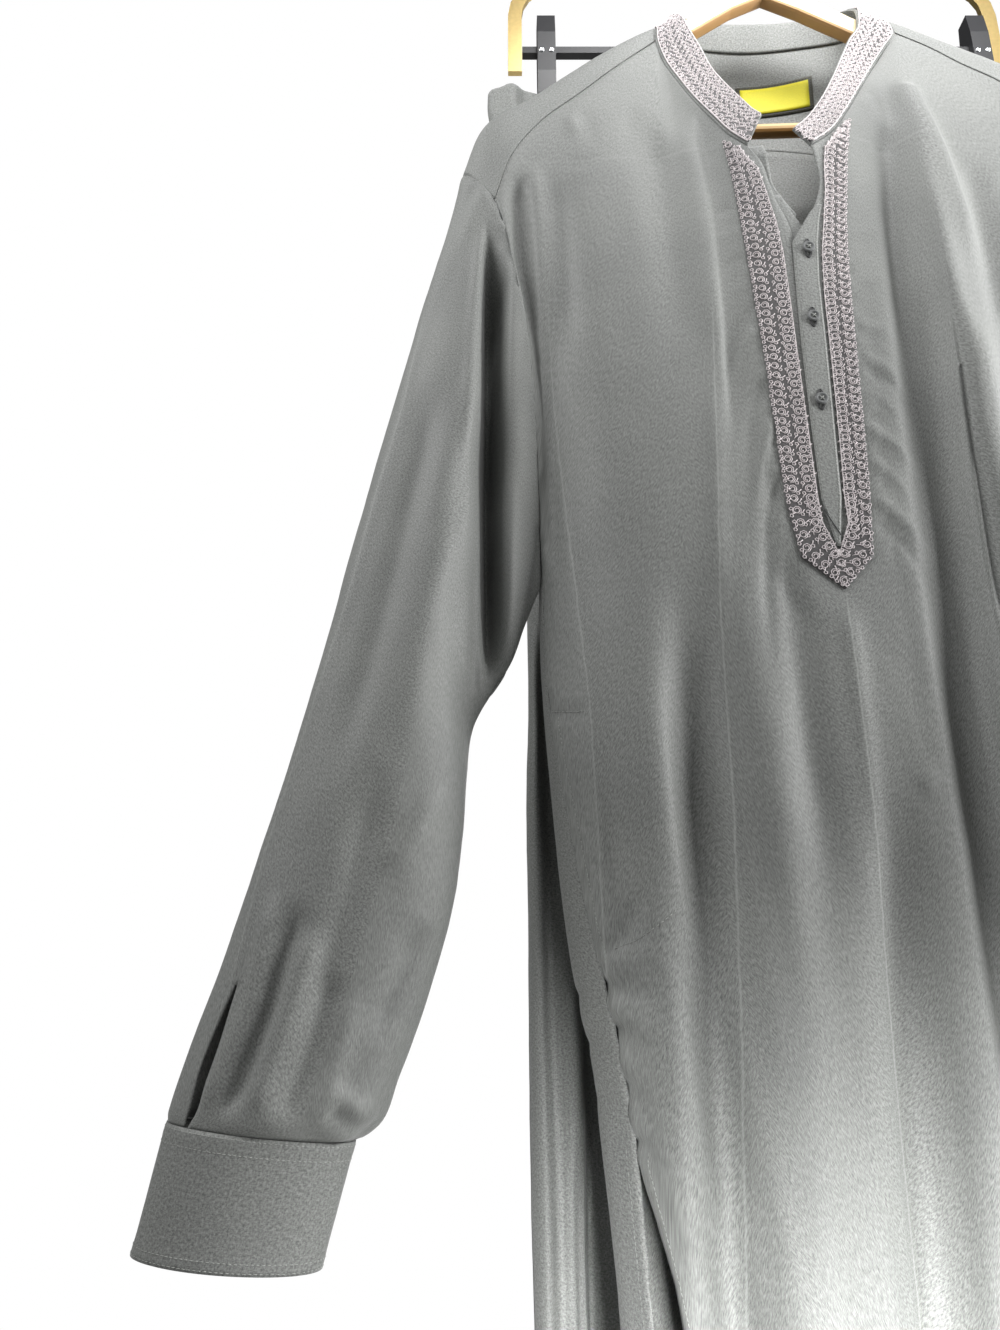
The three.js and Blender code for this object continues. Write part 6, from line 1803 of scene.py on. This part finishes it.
def label_depth(x, z):
    """The inside face of the yoke's back behind the neck."""
    low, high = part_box("neck_label")
    start = Vector((x, low[1] / MM - 8.0, z))
    hit, _, _, _ = yoke_inside.tree.ray_cast(start, Vector((0, 1, 0)))
    return (hit.y if hit else high[1] / MM + CLOTH) - CLOTH


def label_grid(width, height, lift):
    """A grid of points inside the back of the yoke, moved forwards by lift."""
    grid = []
    for v in np.linspace(0.5, -0.5, 9):
        line = []
        for u in np.linspace(-0.5, 0.5, 15):
            x = LABEL["x"] + u * width
            z = LABEL["z"] + v * height + u * width * LABEL["slope"]
            line.append([x, label_depth(x, z) - lift, z])
        grid.append(line)
    return grid


label_back = Cloth(label_grid(LABEL["width"], LABEL["height"], 0.9), NO_REFINE, FRONTWARDS)
finish(shell("label_border", label_back, 0.6, label_border_material), "neck_label")
inner_size = [LABEL[key] - 2 * LABEL["border"] for key in ("width", "height")]
label_face = Cloth(label_grid(inner_size[0], inner_size[1], 1.5), NO_REFINE, FRONTWARDS)
finish(shell("label_satin", label_face, 0.5, label_material))
label_threads = Threads()
for side in ("top", "bottom", "left", "right"):
    label_threads.stitches(*inset_path(label_back, side, 1.4), pitch=2.4, length=1.5, width=0.6)
finish(label_threads.mesh("label_stitches", dark_thread_material))

# ---- hangers ----
for node, material in (
    ("hanger_arms", wood_material), ("hanger_bar", rod_material), ("hanger_hook", steel_material),
    ("clip_hanger_frame", gold_material), ("clip_hanger_hook", gold_material),
    ("clip_hanger_bar", clip_material), ("clip_left", clip_material), ("clip_right", clip_material),
):
    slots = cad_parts[node].data.materials
    slots.clear()
    slots.append(material)

# Two sprung pins with pale ends show on the front of each clip.
PIN_PROFILE = [(0, -1.6), (1.9, -1.6), (2.3, -1.2), (2.3, 1.0), (1.8, 1.5), (1.3, 1.5),
               (1.1, 0.9), (0, 0.9)]
PIN_OFFSETS = (-4.2, 4.2)
PIN_Z = -57
for clip in ("clip_left", "clip_right"):
    low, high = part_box(clip)
    middle_x = (low[0] + high[0]) / 2 / MM
    verts, faces = [], []
    for offset in PIN_OFFSETS:
        pin_verts, pin_faces = turned(PIN_PROFILE, 20)
        start = len(verts)
        verts += [(middle_x + offset + vx, low[1] / MM + 0.4 - vz, PIN_Z + vy) for vx, vy, vz in pin_verts]
        faces += [tuple(start + k for k in face) for face in pin_faces]
    finish(solid_mesh(clip + "_pins", verts, faces, steel_material))

# ---- camera, light and floor ----
FOCAL_PIXELS = 1000.0
PICTURE_HEIGHT = 1330.0
SENSOR_HEIGHT = 36.0
CAMERA_TILT = 17.8  # degrees upwards
camera_data = bpy.data.cameras.new("camera")
camera_data.sensor_fit = "VERTICAL"
camera_data.sensor_height = SENSOR_HEIGHT
camera_data.lens = SENSOR_HEIGHT * FOCAL_PIXELS / PICTURE_HEIGHT
camera = bpy.data.objects.new("camera", camera_data)
camera.location = (-0.197, -0.580, -0.821)
camera.rotation_euler = (math.radians(90 + CAMERA_TILT), 0, 0)
bpy.context.scene.collection.objects.link(camera)
bpy.context.scene.camera = camera


def area_light(name, place, target, size, power, spread=180):
    """A soft rectangular lamp that no camera sees. Its spread is in degrees."""
    data = bpy.data.lights.new(name, "AREA")
    data.shape = "RECTANGLE"
    data.size, data.size_y = size
    data.energy = power
    data.spread = math.radians(spread)
    lamp = bpy.data.objects.new(name, data)
    lamp.location = place
    direction = Vector([t - p for t, p in zip(target, place)])
    lamp.rotation_euler = direction.to_track_quat("-Z", "Y").to_euler()
    lamp.visible_camera = False
    bpy.context.scene.collection.objects.link(lamp)


area_light("above", (0.10, -0.36, 0.20), (0.10, -0.02, 0.02), (0.5, 0.25), 2.8, 100)
area_light("below", (0.12, -1.0, -1.18), (0.10, -0.02, -1.15), (0.5, 0.25), 4.8, 36)
area_light("right", (1.2, -0.40, -0.3), (0.0, 0, -0.5), (0.8, 0.8), 36)
area_light("left", (-1.1, -0.45, 0.2), (-0.1, 0, -0.6), (0.8, 0.8), 16)
area_light("behind", (0.5, 1.7, 0.1), (0, 0.1, -0.6), (1.4, 1.4), 32)

# The sky is white where it is seen, and gives the cloth a softer light.
AMBIENT = 0.08
world = bpy.data.worlds.new("studio")
bpy.context.scene.world = world
world.use_nodes = True
sky = world.node_tree
seen = sky.nodes.new("ShaderNodeLightPath").outputs["Is Camera Ray"]
sky_strength = maths(sky, "MULTIPLY_ADD", seen, 1.0 - AMBIENT, AMBIENT)
sky.links.new(sky_strength, sky.nodes["Background"].inputs["Strength"])
sky.nodes["Background"].inputs["Color"].default_value = (1, 1, 1, 1)

FLOOR_Z = -2.0
FLOOR_RADIUS = 3.0
FLOOR_SIDES = 64
floor_turns = [2 * math.pi * k / FLOOR_SIDES for k in range(FLOOR_SIDES)]
floor_mesh = bpy.data.meshes.new("floor")
floor_rim = [(FLOOR_RADIUS * math.cos(a), FLOOR_RADIUS * math.sin(a), FLOOR_Z) for a in floor_turns]
floor_mesh.from_pydata(floor_rim, [], [tuple(range(FLOOR_SIDES))])
floor_material = plain("pale_floor", (0.9, 0.9, 0.89), 0.8, speckle=(0.99, 1.01), scale=20.0, bump=0.02)
add_object("floor", floor_mesh, floor_material)
bpy.context.scene.view_settings.view_transform = "Standard"
